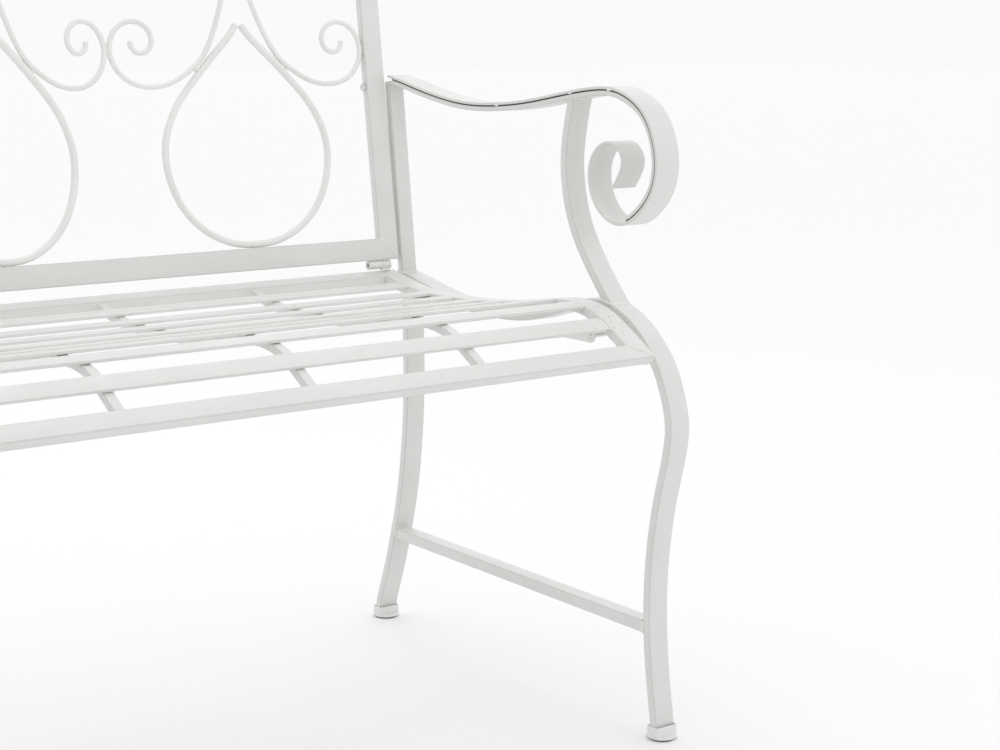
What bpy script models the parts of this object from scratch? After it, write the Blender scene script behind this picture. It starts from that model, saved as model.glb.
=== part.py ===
"""Folding garden bench of welded flat steel tube, white paint.

Frame: +X along the bench, +Y to the rear, +Z up, metres. The origin lies on the floor, in the
middle of the bench. Bodies: the seat frame, the backrest on two barrel hinges along X, and a
side frame at each end on two barrel hinges along Y. Each moving piece hangs on an empty that
lies on its hinge axis.
"""
import math

import bmesh
import bpy
import numpy as np
from mathutils import Vector

# ---------------------------------------------------------------- driving dimensions (metres)
SIDE_PLANE_X = 0.4905       # middle plane of an end frame, from the bench's middle
FRAME_TUBE_WIDTH = 0.025    # end-frame tube, across X
POST_WIDTH = 0.020          # rear post, across X, flush with the leg on the inner side
FRAME_TUBE_DEPTH = 0.010    # end-frame tube, in the frame's plane
SEAT_SIDE_GAP = 0.008       # air between the seat frame and an end frame, for the hinge leaves
SEAT_HALF_WIDTH = SIDE_PLANE_X - FRAME_TUBE_WIDTH / 2 - SEAT_SIDE_GAP
SEAT_TUBE_WIDTH = 0.0245    # seat side rail, across X
SEAT_TUBE_DEPTH = 0.010     # seat frame tube, square to the seat surface
RAIL_TUBE_WIDTH = 0.021     # front and rear seat rails, along the seat surface
ARM_BAND_WIDTH = 0.030
ARM_RAIL_WIDTH = 0.029      # flat bar under the arm band
BACK_SIDE_GAP = 0.001       # air between the backrest and an arm, as the backrest folds
BACK_HALF_WIDTH = SIDE_PLANE_X - ARM_BAND_WIDTH / 2 - BACK_SIDE_GAP
BACK_TUBE_WIDTH = 0.025     # backrest tube, in the backrest's plane
BACK_TUBE_DEPTH = 0.010     # backrest tube, square to its plane
BACK_HEIGHT = 0.467         # backrest, bottom edge to the peak of its arch, along its plane
BACK_LEAN = math.radians(7.5)
ARCH_RADIUS = 1.60          # centre line of the arched top
SHOULDER_RADIUS = 0.070     # bend from stile to arch
SLAT_COUNT = 9
SLAT_WIDTH = 0.0205
SLAT_THICKNESS = 0.003
BEARER_WIDTH = 0.010
BEARER_DEPTH = 0.0085
BEARER_COUNT = 4
ARM_BAND_THICKNESS = 0.003
ARM_RAIL_DEPTH = 0.005
ARM_CURL_DEPTH = 0.004      # the same bar, thinned where it follows the scroll
ARM_AIR = 0.0012            # slit between the band and the bar under it
STRETCHER_HEIGHT = 0.013
STRETCHER_WIDTH = 0.018     # flush with the legs on the inner side
STRETCHER_TOP_Z = 0.1227
ONION_BAR = 0.008           # round bar of the onion-shaped loops
SCROLL_BAR = 0.006          # round bar of the S-scrolls
SIDE_MOTIF_X = 0.6112 * BACK_HALF_WIDTH     # mirror line of each outer backrest motif
FOOT_LENGTH = 0.0284        # block of the foot cap, across X
FOOT_DEPTH = 0.0178         # the same, along Y
FOOT_HEIGHT = 0.014
FLANGE_WIDTH = 0.031        # round flange at the bottom of the foot cap
FLANGE_TOP = 0.004
FLANGE_BOTTOM = 0.0017
SOLE_WIDTH = 0.026
FOOT_SOLE = 0.003           # plastic under the leg tube
FOOT_EDGE = 0.0009          # rounding of its top edge
FOOT_CORNER = 0.002         # its cut corners
EIGHTH = 2 - math.sqrt(2)   # corner cut of an even octagon, per half width
HINGE_RADIUS = 0.006        # end-frame barrel hinges
HINGE_PIN_RADIUS = 0.003
HINGE_KNUCKLE = 0.024       # length of one knuckle
HINGE_PIN_REACH = 0.9       # part of the moving knuckle that the pin fills
HINGE_PLACES = (("front", 0.058), ("rear", 0.335))   # where the fixed knuckle starts, along Y
LEAF_THICKNESS = 0.0025
LEAF_SINK = 0.0040          # top of the leaf, below the hinge axis
LEAF_LAP = 0.004            # reach of the leaf under the end-frame tube
HINGE_INSET = 0.0308        # hinge axis, in from the seat frame's outer face
HINGE_AXIS_X = SEAT_HALF_WIDTH - HINGE_INSET
HINGE_AXIS_Z = 0.4145
BACK_HINGE_RADIUS = 0.005
BACK_PIN_RADIUS = 0.0026
BACK_KNUCKLE_MOVING = 0.017
BACK_KNUCKLE_FIXED = 0.012
BOLT_RADIUS = 0.0025
BOLT_HEAD_RADIUS = 0.0045
BOLT_HEAD_THICKNESS = 0.0035
BOLT_HEIGHT = 0.4283 * BACK_HEIGHT          # above the backrest's bottom edge, along its plane
BACK_BASE_Z = 0.453         # bottom edge of the backrest
DRAWN_FOOT = 0.029          # height on the curves below that rests on the bottom rail
DRAWN_TOP = 0.442           # height on the curves below that meets the arch

WELD_GAP = 0.0003           # between pieces that are welded together
PIN_CLEARANCE = 0.0002      # radial, pin in its knuckle
KNUCKLE_GAP = 0.0005        # between two knuckles, along the pin
SOCKET_CLEARANCE = 0.0004   # leg tube in its foot cap
SOCKET_SLACK = 0.0022       # more along Y, because the leg enters at a slant
DEPTH_SHIFT = -0.25645      # moves the end frame's own Y = 0, under the front foot, to the row frame

# Curves of the end frame, (Y from the front foot, Z): the outer face of each bent bar.
SEAT_PROFILE = [
    (-0.0041, 0.4004), (0.0138, 0.4120), (0.0313, 0.4222), (0.0500, 0.4325), (0.0680, 0.4400),
    (0.0900, 0.4445), (0.1200, 0.4450), (0.1660, 0.4386), (0.2120, 0.4325), (0.2600, 0.4280),
    (0.3100, 0.4260), (0.3600, 0.4258), (0.4000, 0.4290), (0.4406, 0.4362), (0.4612, 0.4402),
]
END_RAIL_PROFILE = [
    (0.4660, 0.4378), (0.4516, 0.4356), (0.4064, 0.4270), (0.3665, 0.4200), (0.3315, 0.4160),
    (0.2700, 0.4140), (0.2100, 0.4195), (0.1600, 0.4330), (0.1150, 0.4435), (0.0780, 0.4425),
    (0.0447, 0.4290), (0.0230, 0.4125), (0.0061, 0.3944), (-0.0060, 0.3740), (-0.0158, 0.3475),
    (-0.0192, 0.3240), (-0.0141, 0.2916), (-0.0045, 0.2550), (0.0037, 0.2140), (0.0085, 0.1700),
    (0.0092, 0.1300), (0.0065, 0.0860), (0.0010, 0.0450), (-0.0030, 0.0190), (-0.0036, 0.0030),
]
REAR_LEG_PROFILE = [
    (0.4460, 0.4400), (0.4460, 0.3600), (0.4462, 0.2900), (0.4550, 0.2050), (0.4690, 0.1400),
    (0.4925, 0.0660), (0.5070, 0.0280), (0.5110, 0.0140), (0.5116, 0.0030),
]
POST_FOOT = (0.4537, 0.4366)    # front face of the rear post
POST_HEAD = (0.4790, 0.6570)
ARM_PROFILE = [
    (0.4790, 0.6618), (0.4500, 0.6565), (0.4108, 0.6482), (0.3500, 0.6382), (0.2953, 0.6354),
    (0.2236, 0.6400), (0.1558, 0.6501), (0.0916, 0.6575), (0.0606, 0.6535), (0.0302, 0.6369),
    (0.0125, 0.6090), (0.0084, 0.5820), (0.0152, 0.5590), (0.0327, 0.5391), (0.0584, 0.5262),
    (0.0860, 0.5325), (0.1050, 0.5550), (0.1063, 0.5832), (0.0907, 0.6006), (0.0705, 0.6015),
    (0.0595, 0.5880), (0.0640, 0.5740), (0.0729, 0.5611),
]
ARM_CURL_END = (0.0500, 0.5285)  # where the bar under the band stops
SUPPORT_PROFILE = [
    (0.1366, 0.6480), (0.1430, 0.6230), (0.1475, 0.5993), (0.1489, 0.5787), (0.1419, 0.5380),
    (0.1218, 0.4983), (0.0907, 0.4602), (0.0735, 0.4416),
]

# Curves of the backrest, (distance from the motif's mirror line, height above the bottom edge).
ONION_CURVE = [
    (0.0000, 0.0290), (0.0275, 0.0318), (0.0545, 0.0434), (0.0780, 0.0640), (0.0940, 0.0930),
    (0.1002, 0.1250), (0.0969, 0.1523), (0.0817, 0.1840), (0.0583, 0.2120), (0.0350, 0.2364),
    (0.0119, 0.2597), (0.0033, 0.2715),
]
SCROLL_LEAD = [
    (0.0032, 0.3900), (0.0036, 0.3650), (0.0075, 0.3350), (0.0180, 0.2980), (0.0300, 0.2660),
    (0.0455, 0.2378), (0.0590, 0.2250), (0.0740, 0.2150), (0.0880, 0.2085),
]
SPIRAL_CENTRE = (0.1205, 0.2520)
SPIRAL_OUTER = 0.0485
SPIRAL_INNER = 0.0093
SPIRAL_START = math.radians(-104)
SPIRAL_TURN = math.radians(475)
SPIRAL_POWER = 2.1

WHITE_PAINT = ("white_paint", (0.86, 0.87, 0.86, 1.0), 0.38, 0.0)
WHITE_PLASTIC = ("white_plastic", (0.84, 0.85, 0.84, 1.0), 0.55, 0.0)
ZINC = ("zinc", (0.72, 0.73, 0.74, 1.0), 0.35, 1.0)


# ---------------------------------------------------------------- materials and scene
def clear_scene():
    for item in list(bpy.data.objects):
        bpy.data.objects.remove(item, do_unlink=True)


def material(finish):
    name, colour, roughness, metallic = finish
    found = bpy.data.materials.get(name)
    if found:
        return found
    made = bpy.data.materials.new(name)
    made.use_nodes = True
    shader = made.node_tree.nodes["Principled BSDF"]
    shader.inputs["Base Color"].default_value = colour
    shader.inputs["Roughness"].default_value = roughness
    shader.inputs["Metallic"].default_value = metallic
    return made


def empty(name, location, lean=0.0):
    """Hinge frame: local +Z leans back by the angle given."""
    pivot = bpy.data.objects.new(name, None)
    bpy.context.collection.objects.link(pivot)
    pivot.location = location
    pivot.rotation_euler = (-lean, 0.0, 0.0)
    return pivot


def add_object(name, bm, finish, parent=None, smooth=True):
    """Wrap a bmesh as an object; coordinates are the parent's."""
    bmesh.ops.recalc_face_normals(bm, faces=bm.faces)
    mesh = bpy.data.meshes.new(name)
    bm.to_mesh(mesh)
    bm.free()
    if smooth:
        mesh.shade_smooth()
        mesh.set_sharp_from_angle(angle=math.radians(32))
    item = bpy.data.objects.new(name, mesh)
    bpy.context.collection.objects.link(item)
    item.data.materials.append(material(finish))
    item.parent = parent
    return item


def combine(item, other, operation):
    """Boolean with a hidden second solid."""
    other.hide_render = True
    other.display_type = "WIRE"
    step = item.modifiers.new(operation.lower(), "BOOLEAN")
    step.operation = operation
    step.solver = "EXACT"
    step.object = other


# ---------------------------------------------------------------- curves
def spline(points, count):
    """Natural cubic spline through the points, as count points along it."""
    knots = np.array(points, float)
    steps = np.sqrt(np.hypot(*np.diff(knots, axis=0).T))
    place = np.concatenate(([0.0], np.cumsum(steps)))
    size = len(knots)
    matrix = np.eye(size)
    right = np.zeros((size, 2))
    for i in range(1, size - 1):
        before = place[i] - place[i - 1]
        after = place[i + 1] - place[i]
        matrix[i, i - 1:i + 2] = (before, 2 * (before + after), after)
        right[i] = 6 * ((knots[i + 1] - knots[i]) / after - (knots[i] - knots[i - 1]) / before)
    bend = np.linalg.solve(matrix, right)
    found = []
    for where in np.linspace(0.0, place[-1], count):
        i = min(int(np.searchsorted(place, where, side="right")) - 1, size - 2)
        span = place[i + 1] - place[i]
        left = (place[i + 1] - where) / span
        rest = 1.0 - left
        cubic = (left ** 3 - left) * bend[i] + (rest ** 3 - rest) * bend[i + 1]
        found.append(left * knots[i] + rest * knots[i + 1] + cubic * span ** 2 / 6)
    return np.array(found)


def normals_of(path):
    """Unit normals of a plane path, to the left of its direction."""
    ahead = np.gradient(path, axis=0)
    ahead /= np.linalg.norm(ahead, axis=1)[:, None]
    return np.stack((-ahead[:, 1], ahead[:, 0]), axis=1)


def offset(path, distance):
    """Path moved to its left by a distance, one value or one for each point."""
    return path + normals_of(path) * np.reshape(distance, (-1, 1))


def height_on(profile, y):
    """Height of a front-to-rear profile at a depth."""
    return float(np.interp(y, profile[:, 0], profile[:, 1]))


# ---------------------------------------------------------------- bar makers
def sweep(path, to_space, across, thickness, side, mitred=False):
    """Rectangular bar along a plane path. across is the size along the side direction and
    thickness the size along the path's normal, one value or one for each point. A mitred bar
    has both ends cut at 45 degrees, its left side short."""
    bm = bmesh.new()
    thickness = np.broadcast_to(thickness, len(path))
    normals = normals_of(path)
    shears = np.zeros((len(path), 2))
    if mitred:
        for end, way in ((0, 1), (-1, -1)):
            shears[end] = np.array((normals[end][1], -normals[end][0])) * way
    rings = []
    for point, normal, size, shear in zip(path, normals, thickness, shears):
        ring = []
        for i, j in ((-1, -1), (1, -1), (1, 1), (-1, 1)):
            spot = to_space(point + (normal + shear) * (j * size / 2))
            ring.append(bm.verts.new(spot + side * (i * across / 2)))
        rings.append(ring)
    close_rings(bm, rings)
    return bm


def round_sweep(path, to_space, diameter, side, sides=8):
    """Round bar along a plane path."""
    bm = bmesh.new()
    rings = []
    for point, normal in zip(path, normals_of(path)):
        ring = []
        for k in range(sides):
            turn = 2 * math.pi * (k + 0.5) / sides
            spot = to_space(point + normal * (diameter / 2 * math.sin(turn)))
            ring.append(bm.verts.new(spot + side * (diameter / 2 * math.cos(turn))))
        rings.append(ring)
    close_rings(bm, rings)
    return bm


def close_rings(bm, rings):
    """Skin between rings, with both ends capped."""
    count = len(rings[0])
    for first, second in zip(rings, rings[1:]):
        for k in range(count):
            nxt = (k + 1) % count
            bm.faces.new((first[k], first[nxt], second[nxt], second[k]))
    bm.faces.new(rings[0])
    bm.faces.new(rings[-1])


def prism(outline, to_space, start, end, side):
    """Plane outline pushed along a direction, from one distance to another."""
    bm = bmesh.new()
    rings = [[bm.verts.new(to_space(p) + side * d) for p in outline] for d in (start, end)]
    close_rings(bm, rings)
    return bm


def mitre(bm, point, normal):
    """Cut away what lies beyond a plane, and close the cut."""
    everything = list(bm.verts) + list(bm.edges) + list(bm.faces)
    cut = bmesh.ops.bisect_plane(bm, geom=everything, dist=1e-7, plane_co=point, plane_no=normal,
                                 clear_outer=True)
    edges = [e for e in cut["geom_cut"] if isinstance(e, bmesh.types.BMEdge)]
    bmesh.ops.contextual_create(bm, geom=edges)


def circle(centre, radius, sides, start=0.0):
    turns = [start + 2 * math.pi * k / sides for k in range(sides)]
    return [(centre[0] + radius * math.cos(t), centre[1] + radius * math.sin(t)) for t in turns]


def end_space(sign):
    """Maps (Y from the front foot, Z) to an end frame's middle plane, in world metres."""
    return lambda p: Vector((sign * SIDE_PLANE_X, p[0] + DEPTH_SHIFT, p[1]))


def inner_flush(to_space, sign, width):
    """The same mapping, for a narrower bar that is level with the legs' inner side."""
    inward = ALONG_X * (-sign * (FRAME_TUBE_WIDTH - width) / 2)
    return lambda p: to_space(p) + inward


def shifted(to_space, pivot):
    """The same mapping, measured from a pivot."""
    return lambda p: to_space(p) - pivot


ALONG_X = Vector((1, 0, 0))
ALONG_Y = Vector((0, 1, 0))


# ---------------------------------------------------------------- seat
def seat_curve():
    return spline(SEAT_PROFILE, 33)


def seat_rail_angle(profile, end):
    """Slope of the seat surface at its front (end 0) or rear (end -1)."""
    first, second = (profile[0], profile[2]) if end == 0 else (profile[-3], profile[-1])
    return math.atan2(second[1] - first[1], second[0] - first[0])


def mitre_plane(sign, profile, end):
    """Plane of a seat corner: a point and the normal away from the side rail."""
    inner_x = SEAT_HALF_WIDTH - SEAT_TUBE_WIDTH
    run = RAIL_TUBE_WIDTH * math.cos(seat_rail_angle(profile, end))
    edge_y = profile[end][0] + DEPTH_SHIFT
    inward = 1 if end == 0 else -1
    outer = Vector((sign * SEAT_HALF_WIDTH, edge_y, 0))
    inner = Vector((sign * inner_x, edge_y + inward * run, 0))
    along = (inner - outer).normalized()
    normal = Vector((along.y, -along.x, 0))
    if normal.x * sign > 0:
        normal = -normal
    return outer, normal


def make_seat(profile):
    middle = offset(profile, -SEAT_TUBE_DEPTH / 2)
    inner_x = SEAT_HALF_WIDTH - SEAT_TUBE_WIDTH
    for sign, tag in ((-1, "left"), (1, "right")):
        centre_x = sign * (SEAT_HALF_WIDTH - SEAT_TUBE_WIDTH / 2)
        to_space = lambda p, x=centre_x: Vector((x, p[0] + DEPTH_SHIFT, p[1]))
        bm = sweep(middle, to_space, SEAT_TUBE_WIDTH, SEAT_TUBE_DEPTH, ALONG_X)
        for end in (0, -1):
            point, normal = mitre_plane(sign, profile, end)
            mitre(bm, point - normal * (WELD_GAP / 2), normal)
        add_object("seat_side_rail_" + tag, bm, WHITE_PAINT)
    for name, end in (("seat_front_rail", 0), ("seat_rear_rail", -1)):
        make_seat_cross_rail(name, profile, end)
    make_slats(profile, inner_x)
    make_bearers(profile, inner_x)


def make_seat_cross_rail(name, profile, end):
    """Front or rear rail: a flat tube in line with the end of the seat surface."""
    angle = seat_rail_angle(profile, end)
    inward = 1 if end == 0 else -1
    along = np.array((math.cos(angle), math.sin(angle))) * inward
    down = np.array((math.sin(angle), -math.cos(angle)))
    edge = profile[end]
    outline = [edge, edge + along * RAIL_TUBE_WIDTH,
               edge + along * RAIL_TUBE_WIDTH + down * SEAT_TUBE_DEPTH,
               edge + down * SEAT_TUBE_DEPTH]
    to_space = lambda p: Vector((0, p[0] + DEPTH_SHIFT, p[1]))
    bm = prism(outline, to_space, -SEAT_HALF_WIDTH, SEAT_HALF_WIDTH, ALONG_X)
    for sign in (-1, 1):
        point, normal = mitre_plane(sign, profile, end)
        mitre(bm, point + normal * (WELD_GAP / 2), -normal)
    add_object(name, bm, WHITE_PAINT)


def length_along(profile):
    return np.concatenate(([0.0], np.cumsum(np.hypot(*np.diff(profile, axis=0).T))))


def point_along(profile, distance):
    """Point and slope of the profile at a distance from its front end."""
    run = length_along(profile)
    y = np.interp(distance, run, profile[:, 0])
    z = np.interp(distance, run, profile[:, 1])
    reach = SLAT_WIDTH / 2
    low = np.interp(distance - reach, run, profile[:, 1])
    high = np.interp(distance + reach, run, profile[:, 1])
    y_low = np.interp(distance - reach, run, profile[:, 0])
    y_high = np.interp(distance + reach, run, profile[:, 0])
    return np.array((y, z)), math.atan2(high - low, y_high - y_low)


def slat_places(profile):
    """Middles of the slats, spaced evenly between the front and rear rails."""
    total = length_along(profile)[-1]
    clear = total - 2 * RAIL_TUBE_WIDTH
    air = (clear - SLAT_COUNT * SLAT_WIDTH) / (SLAT_COUNT + 1)
    first = RAIL_TUBE_WIDTH + air + SLAT_WIDTH / 2
    return [first + k * (SLAT_WIDTH + air) for k in range(SLAT_COUNT)]


def make_slats(profile, inner_x):
    """Flat strips between the side rails, their tops in line with the rails' tops."""
    reach = inner_x - WELD_GAP
    to_space = lambda p: Vector((0, p[0] + DEPTH_SHIFT, p[1]))
    for number, place in enumerate(slat_places(profile), start=1):
        middle, angle = point_along(profile, place)
        along = np.array((math.cos(angle), math.sin(angle))) * SLAT_WIDTH / 2
        down = np.array((math.sin(angle), -math.cos(angle))) * SLAT_THICKNESS
        outline = [middle - along, middle + along, middle + along + down, middle - along + down]
        bm = prism(outline, to_space, -reach, reach, ALONG_X)
        add_object("seat_slat_%d" % number, bm, WHITE_PAINT)


def make_bearers(profile, inner_x):
    """Bent flat bars under the slats, from the front rail to the rear rail."""
    run = length_along(profile)
    ends = (RAIL_TUBE_WIDTH + WELD_GAP, run[-1] - RAIL_TUBE_WIDTH - WELD_GAP)
    places = np.linspace(ends[0], ends[1], 25)
    top = np.stack([np.interp(places, run, profile[:, axis]) for axis in (0, 1)], axis=1)
    # The top clears the slats' undersides where the seat is hollow as well as where it is crowned.
    middle = offset(top, -(SLAT_THICKNESS + 2 * WELD_GAP + BEARER_DEPTH / 2))
    reach = inner_x + SEAT_TUBE_WIDTH / 2
    spacing = 2 * reach / (BEARER_COUNT + 1)
    for number in range(BEARER_COUNT):
        x = -reach + spacing * (number + 1)
        to_space = lambda p, x=x: Vector((x, p[0] + DEPTH_SHIFT, p[1]))
        bm = sweep(middle, to_space, BEARER_WIDTH, BEARER_DEPTH, ALONG_X)
        for end, inward in ((0, -1), (-1, 1)):
            angle = seat_rail_angle(profile, end)
            plane = Vector((0, math.cos(angle), math.sin(angle))) * inward
            limit = point_on_rail_face(profile, end)
            mitre(bm, limit - plane * WELD_GAP, plane)
        add_object("seat_bearer_%d" % (number + 1), bm, WHITE_PAINT)


def point_on_rail_face(profile, end):
    """Point on the inner face of the front or rear rail."""
    angle = seat_rail_angle(profile, end)
    inward = 1 if end == 0 else -1
    reach = RAIL_TUBE_WIDTH * inward
    y = profile[end][0] + math.cos(angle) * reach + DEPTH_SHIFT
    return Vector((0, y, profile[end][1] + math.sin(angle) * reach))


# ---------------------------------------------------------------- end frames
def make_end_frame(sign, tag):
    pivot_point = Vector((sign * HINGE_AXIS_X, 0, HINGE_AXIS_Z))
    pivot = empty("end_frame_pivot_" + tag, pivot_point)
    to_space = shifted(end_space(sign), pivot_point)
    half = FRAME_TUBE_DEPTH / 2

    rail = spline(END_RAIL_PROFILE, 57)
    rail_middle = offset(rail, half)
    bm = sweep(rail_middle, to_space, FRAME_TUBE_WIDTH, FRAME_TUBE_DEPTH, ALONG_X)
    cut_level(bm, to_space, FOOT_SOLE + WELD_GAP, -1)
    add_object("front_leg_" + tag, bm, WHITE_PAINT, pivot)

    underside = offset(rail, FRAME_TUBE_DEPTH)
    leg = offset(spline(REAR_LEG_PROFILE, 21), half)
    bm = sweep(leg, to_space, FRAME_TUBE_WIDTH, FRAME_TUBE_DEPTH, ALONG_X)
    cut_level(bm, to_space, FOOT_SOLE + WELD_GAP, -1)
    cut_under(bm, to_space, underside, leg[0][0], -WELD_GAP, 1)
    add_object("rear_leg_" + tag, bm, WHITE_PAINT, pivot)

    lean = np.array(POST_HEAD) - np.array(POST_FOOT)
    lean /= np.linalg.norm(lean)
    post = np.array([np.array(POST_FOOT) - lean * 0.02, POST_HEAD])
    bm = sweep(offset(post, -half), inner_flush(to_space, sign, POST_WIDTH), POST_WIDTH,
               FRAME_TUBE_DEPTH, ALONG_X)
    cut_under(bm, to_space, rail, POST_FOOT[0] + half, WELD_GAP, -1)
    band = spline(ARM_PROFILE, 77)
    arm_rail, depth = arm_rail_path(band)
    under_arm = offset(arm_rail, depth / 2)
    cut_under(bm, to_space, under_arm, POST_HEAD[0] + half, -WELD_GAP, 1)
    add_object("rear_post_" + tag, bm, WHITE_PAINT, pivot)

    bm = sweep(offset(spline(SUPPORT_PROFILE, 25), half), to_space, FRAME_TUBE_WIDTH,
               FRAME_TUBE_DEPTH, ALONG_X)
    cut_under(bm, to_space, rail, SUPPORT_PROFILE[-1][0] + half, WELD_GAP, -1)
    cut_under(bm, to_space, under_arm, SUPPORT_PROFILE[0][0] + half, -WELD_GAP, 1)
    add_object("arm_support_" + tag, bm, WHITE_PAINT, pivot)

    bm = sweep(offset(band, -ARM_BAND_THICKNESS / 2), to_space, ARM_BAND_WIDTH,
               ARM_BAND_THICKNESS, ALONG_X)
    add_object("arm_band_" + tag, bm, WHITE_PAINT, pivot)
    bm = sweep(arm_rail, to_space, ARM_RAIL_WIDTH, depth, ALONG_X)
    add_object("arm_rail_" + tag, bm, WHITE_PAINT, pivot)

    make_stretcher(inner_flush(to_space, sign, STRETCHER_WIDTH), tag, pivot, rail, leg)
    for name, path in (("front_foot_", rail_middle), ("rear_foot_", leg)):
        make_foot(name + tag, to_space, path[-1][0], pivot)
    make_end_hinges(sign, tag, pivot_point, pivot, underside)


def cut_level(bm, to_space, z, way):
    """Cut a bar level at a height; way 1 takes away what is above, -1 what is below."""
    mitre(bm, to_space((0, z)), Vector((0, 0, way)))


def cut_under(bm, to_space, curve, y, lift, way):
    """Cut a bar along the line of the bar it meets, near the depth y."""
    order = np.argsort(np.abs(curve[:, 0] - y) + (curve[:, 1] < 0.3) * 9)[:2]
    first, second = curve[min(order)], curve[max(order)]
    run = second - first
    normal = np.array((-run[1], run[0])) / np.linalg.norm(run)
    if normal[1] < 0:
        normal = -normal
    point = (first + second) / 2 + normal * lift
    mitre(bm, to_space(point), Vector((0, normal[0], normal[1])) * way)


def arm_rail_path(band):
    """Bar under the arm band, to the point where it stops inside the scroll."""
    stop = int(np.argmin(np.hypot(*(band - ARM_CURL_END).T) + (np.arange(len(band)) < 30)))
    run = band[1:stop + 1]
    thin = np.clip((0.045 - run[:, 0]) / 0.02, 0.0, 1.0)
    thin = np.maximum.accumulate(thin)
    depth = ARM_RAIL_DEPTH + (ARM_CURL_DEPTH - ARM_RAIL_DEPTH) * thin
    return offset(run, ARM_AIR + depth / 2), depth


def make_stretcher(to_space, tag, pivot, rail, leg):
    """Level bar between the two legs, welded to their facing sides."""
    middle_z = STRETCHER_TOP_Z - STRETCHER_HEIGHT / 2
    low = int(np.argmin(np.abs(rail[:, 1] - middle_z)))
    front_y = rail[low][0] + FRAME_TUBE_DEPTH + WELD_GAP
    low = int(np.argmin(np.abs(leg[:, 1] - middle_z)))
    # The rear leg leans, so its front face comes forward over the bar's height.
    rear_y = leg[low][0] - FRAME_TUBE_DEPTH / 2 - STRETCHER_HEIGHT / 4 - WELD_GAP
    path = np.array([(front_y, middle_z), (rear_y, middle_z)])
    bm = sweep(path, to_space, STRETCHER_WIDTH, STRETCHER_HEIGHT, ALONG_X)
    add_object("stretcher_" + tag, bm, WHITE_PAINT, pivot)


def make_foot(name, to_space, y, pivot):
    """Push-on plastic cap: sole, round flange and a block with a socket for the tube's end."""
    bm = bmesh.new()
    half_x, half_y = FOOT_LENGTH / 2, FOOT_DEPTH / 2
    sole, flange = SOLE_WIDTH / 2, FLANGE_WIDTH / 2
    socket_x = FRAME_TUBE_WIDTH / 2 + SOCKET_CLEARANCE
    socket_y = FRAME_TUBE_DEPTH / 2 + SOCKET_CLEARANCE + SOCKET_SLACK
    levels = (
        (0.0, sole, sole, sole * EIGHTH),
        (FLANGE_BOTTOM, flange, flange, flange * EIGHTH),
        (FLANGE_TOP, flange, flange, flange * EIGHTH),
        (FLANGE_TOP, half_x, half_y, FOOT_CORNER),
        (FOOT_HEIGHT - FOOT_EDGE, half_x, half_y, FOOT_CORNER),
        (FOOT_HEIGHT, half_x - FOOT_EDGE, half_y - FOOT_EDGE, FOOT_CORNER),
        (FOOT_HEIGHT, socket_x, socket_y, FOOT_CORNER / 4),
        (FOOT_SOLE, socket_x, socket_y, FOOT_CORNER / 4),
    )
    rings = [corner_ring(bm, to_space, y, *level) for level in levels]
    close_rings(bm, rings)
    add_object(name, bm, WHITE_PLASTIC, pivot)


def corner_ring(bm, to_space, y, z, half_x, half_y, cut):
    """Rectangle with cut corners, around a leg's middle."""
    spots = []
    for i, j in ((-1, -1), (1, -1), (1, 1), (-1, 1)):
        first = (i * (half_x - cut), j * half_y)
        second = (i * half_x, j * (half_y - cut))
        spots += [first, second] if i * j < 0 else [second, first]
    centre = to_space((y, z))
    return [bm.verts.new(centre + Vector((dx, dy, 0))) for dx, dy in spots]


def make_end_hinges(sign, tag, pivot_point, pivot, underside):
    """Two barrel hinges along Y: a knuckle on the seat rail, one on the end frame."""
    for place, start_y in HINGE_PLACES:
        joint_y = start_y + HINGE_KNUCKLE
        # Knuckle welded to the seat's side rail, with the pin.
        to_space = lambda p: Vector((sign * (HINGE_AXIS_X + p[0]), DEPTH_SHIFT, HINGE_AXIS_Z + p[1]))
        bm = prism(circle((0, 0), HINGE_RADIUS, 16), to_space, start_y, joint_y, ALONG_Y)
        fixed = add_object("hinge_seat_%s_%s" % (place, tag), bm, WHITE_PAINT)
        bm = prism(circle((0, 0), HINGE_PIN_RADIUS, 16), to_space, joint_y - 0.004,
                   joint_y + HINGE_KNUCKLE * HINGE_PIN_REACH, ALONG_Y)
        pin = add_object("pin_%s_%s" % (place, tag), bm, ZINC)
        combine(fixed, pin, "UNION")
        # Knuckle with a leaf that runs under the seat rail to the end frame.
        first_y = joint_y + KNUCKLE_GAP
        last_y = first_y + HINGE_KNUCKLE
        local = lambda p: Vector((sign * p[0], DEPTH_SHIFT, p[1]))
        bm = prism(leaf_outline(underside, (first_y + last_y) / 2), local, first_y, last_y, ALONG_Y)
        moving = add_object("hinge_frame_%s_%s" % (place, tag), bm, WHITE_PAINT, pivot)
        bm = prism(circle((0, 0), HINGE_PIN_RADIUS + PIN_CLEARANCE, 16), local, first_y - 0.01,
                   last_y + 0.01, ALONG_Y)
        bore = add_object("bore_%s_%s" % (place, tag), bm, ZINC, pivot)
        combine(moving, bore, "DIFFERENCE")


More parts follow.
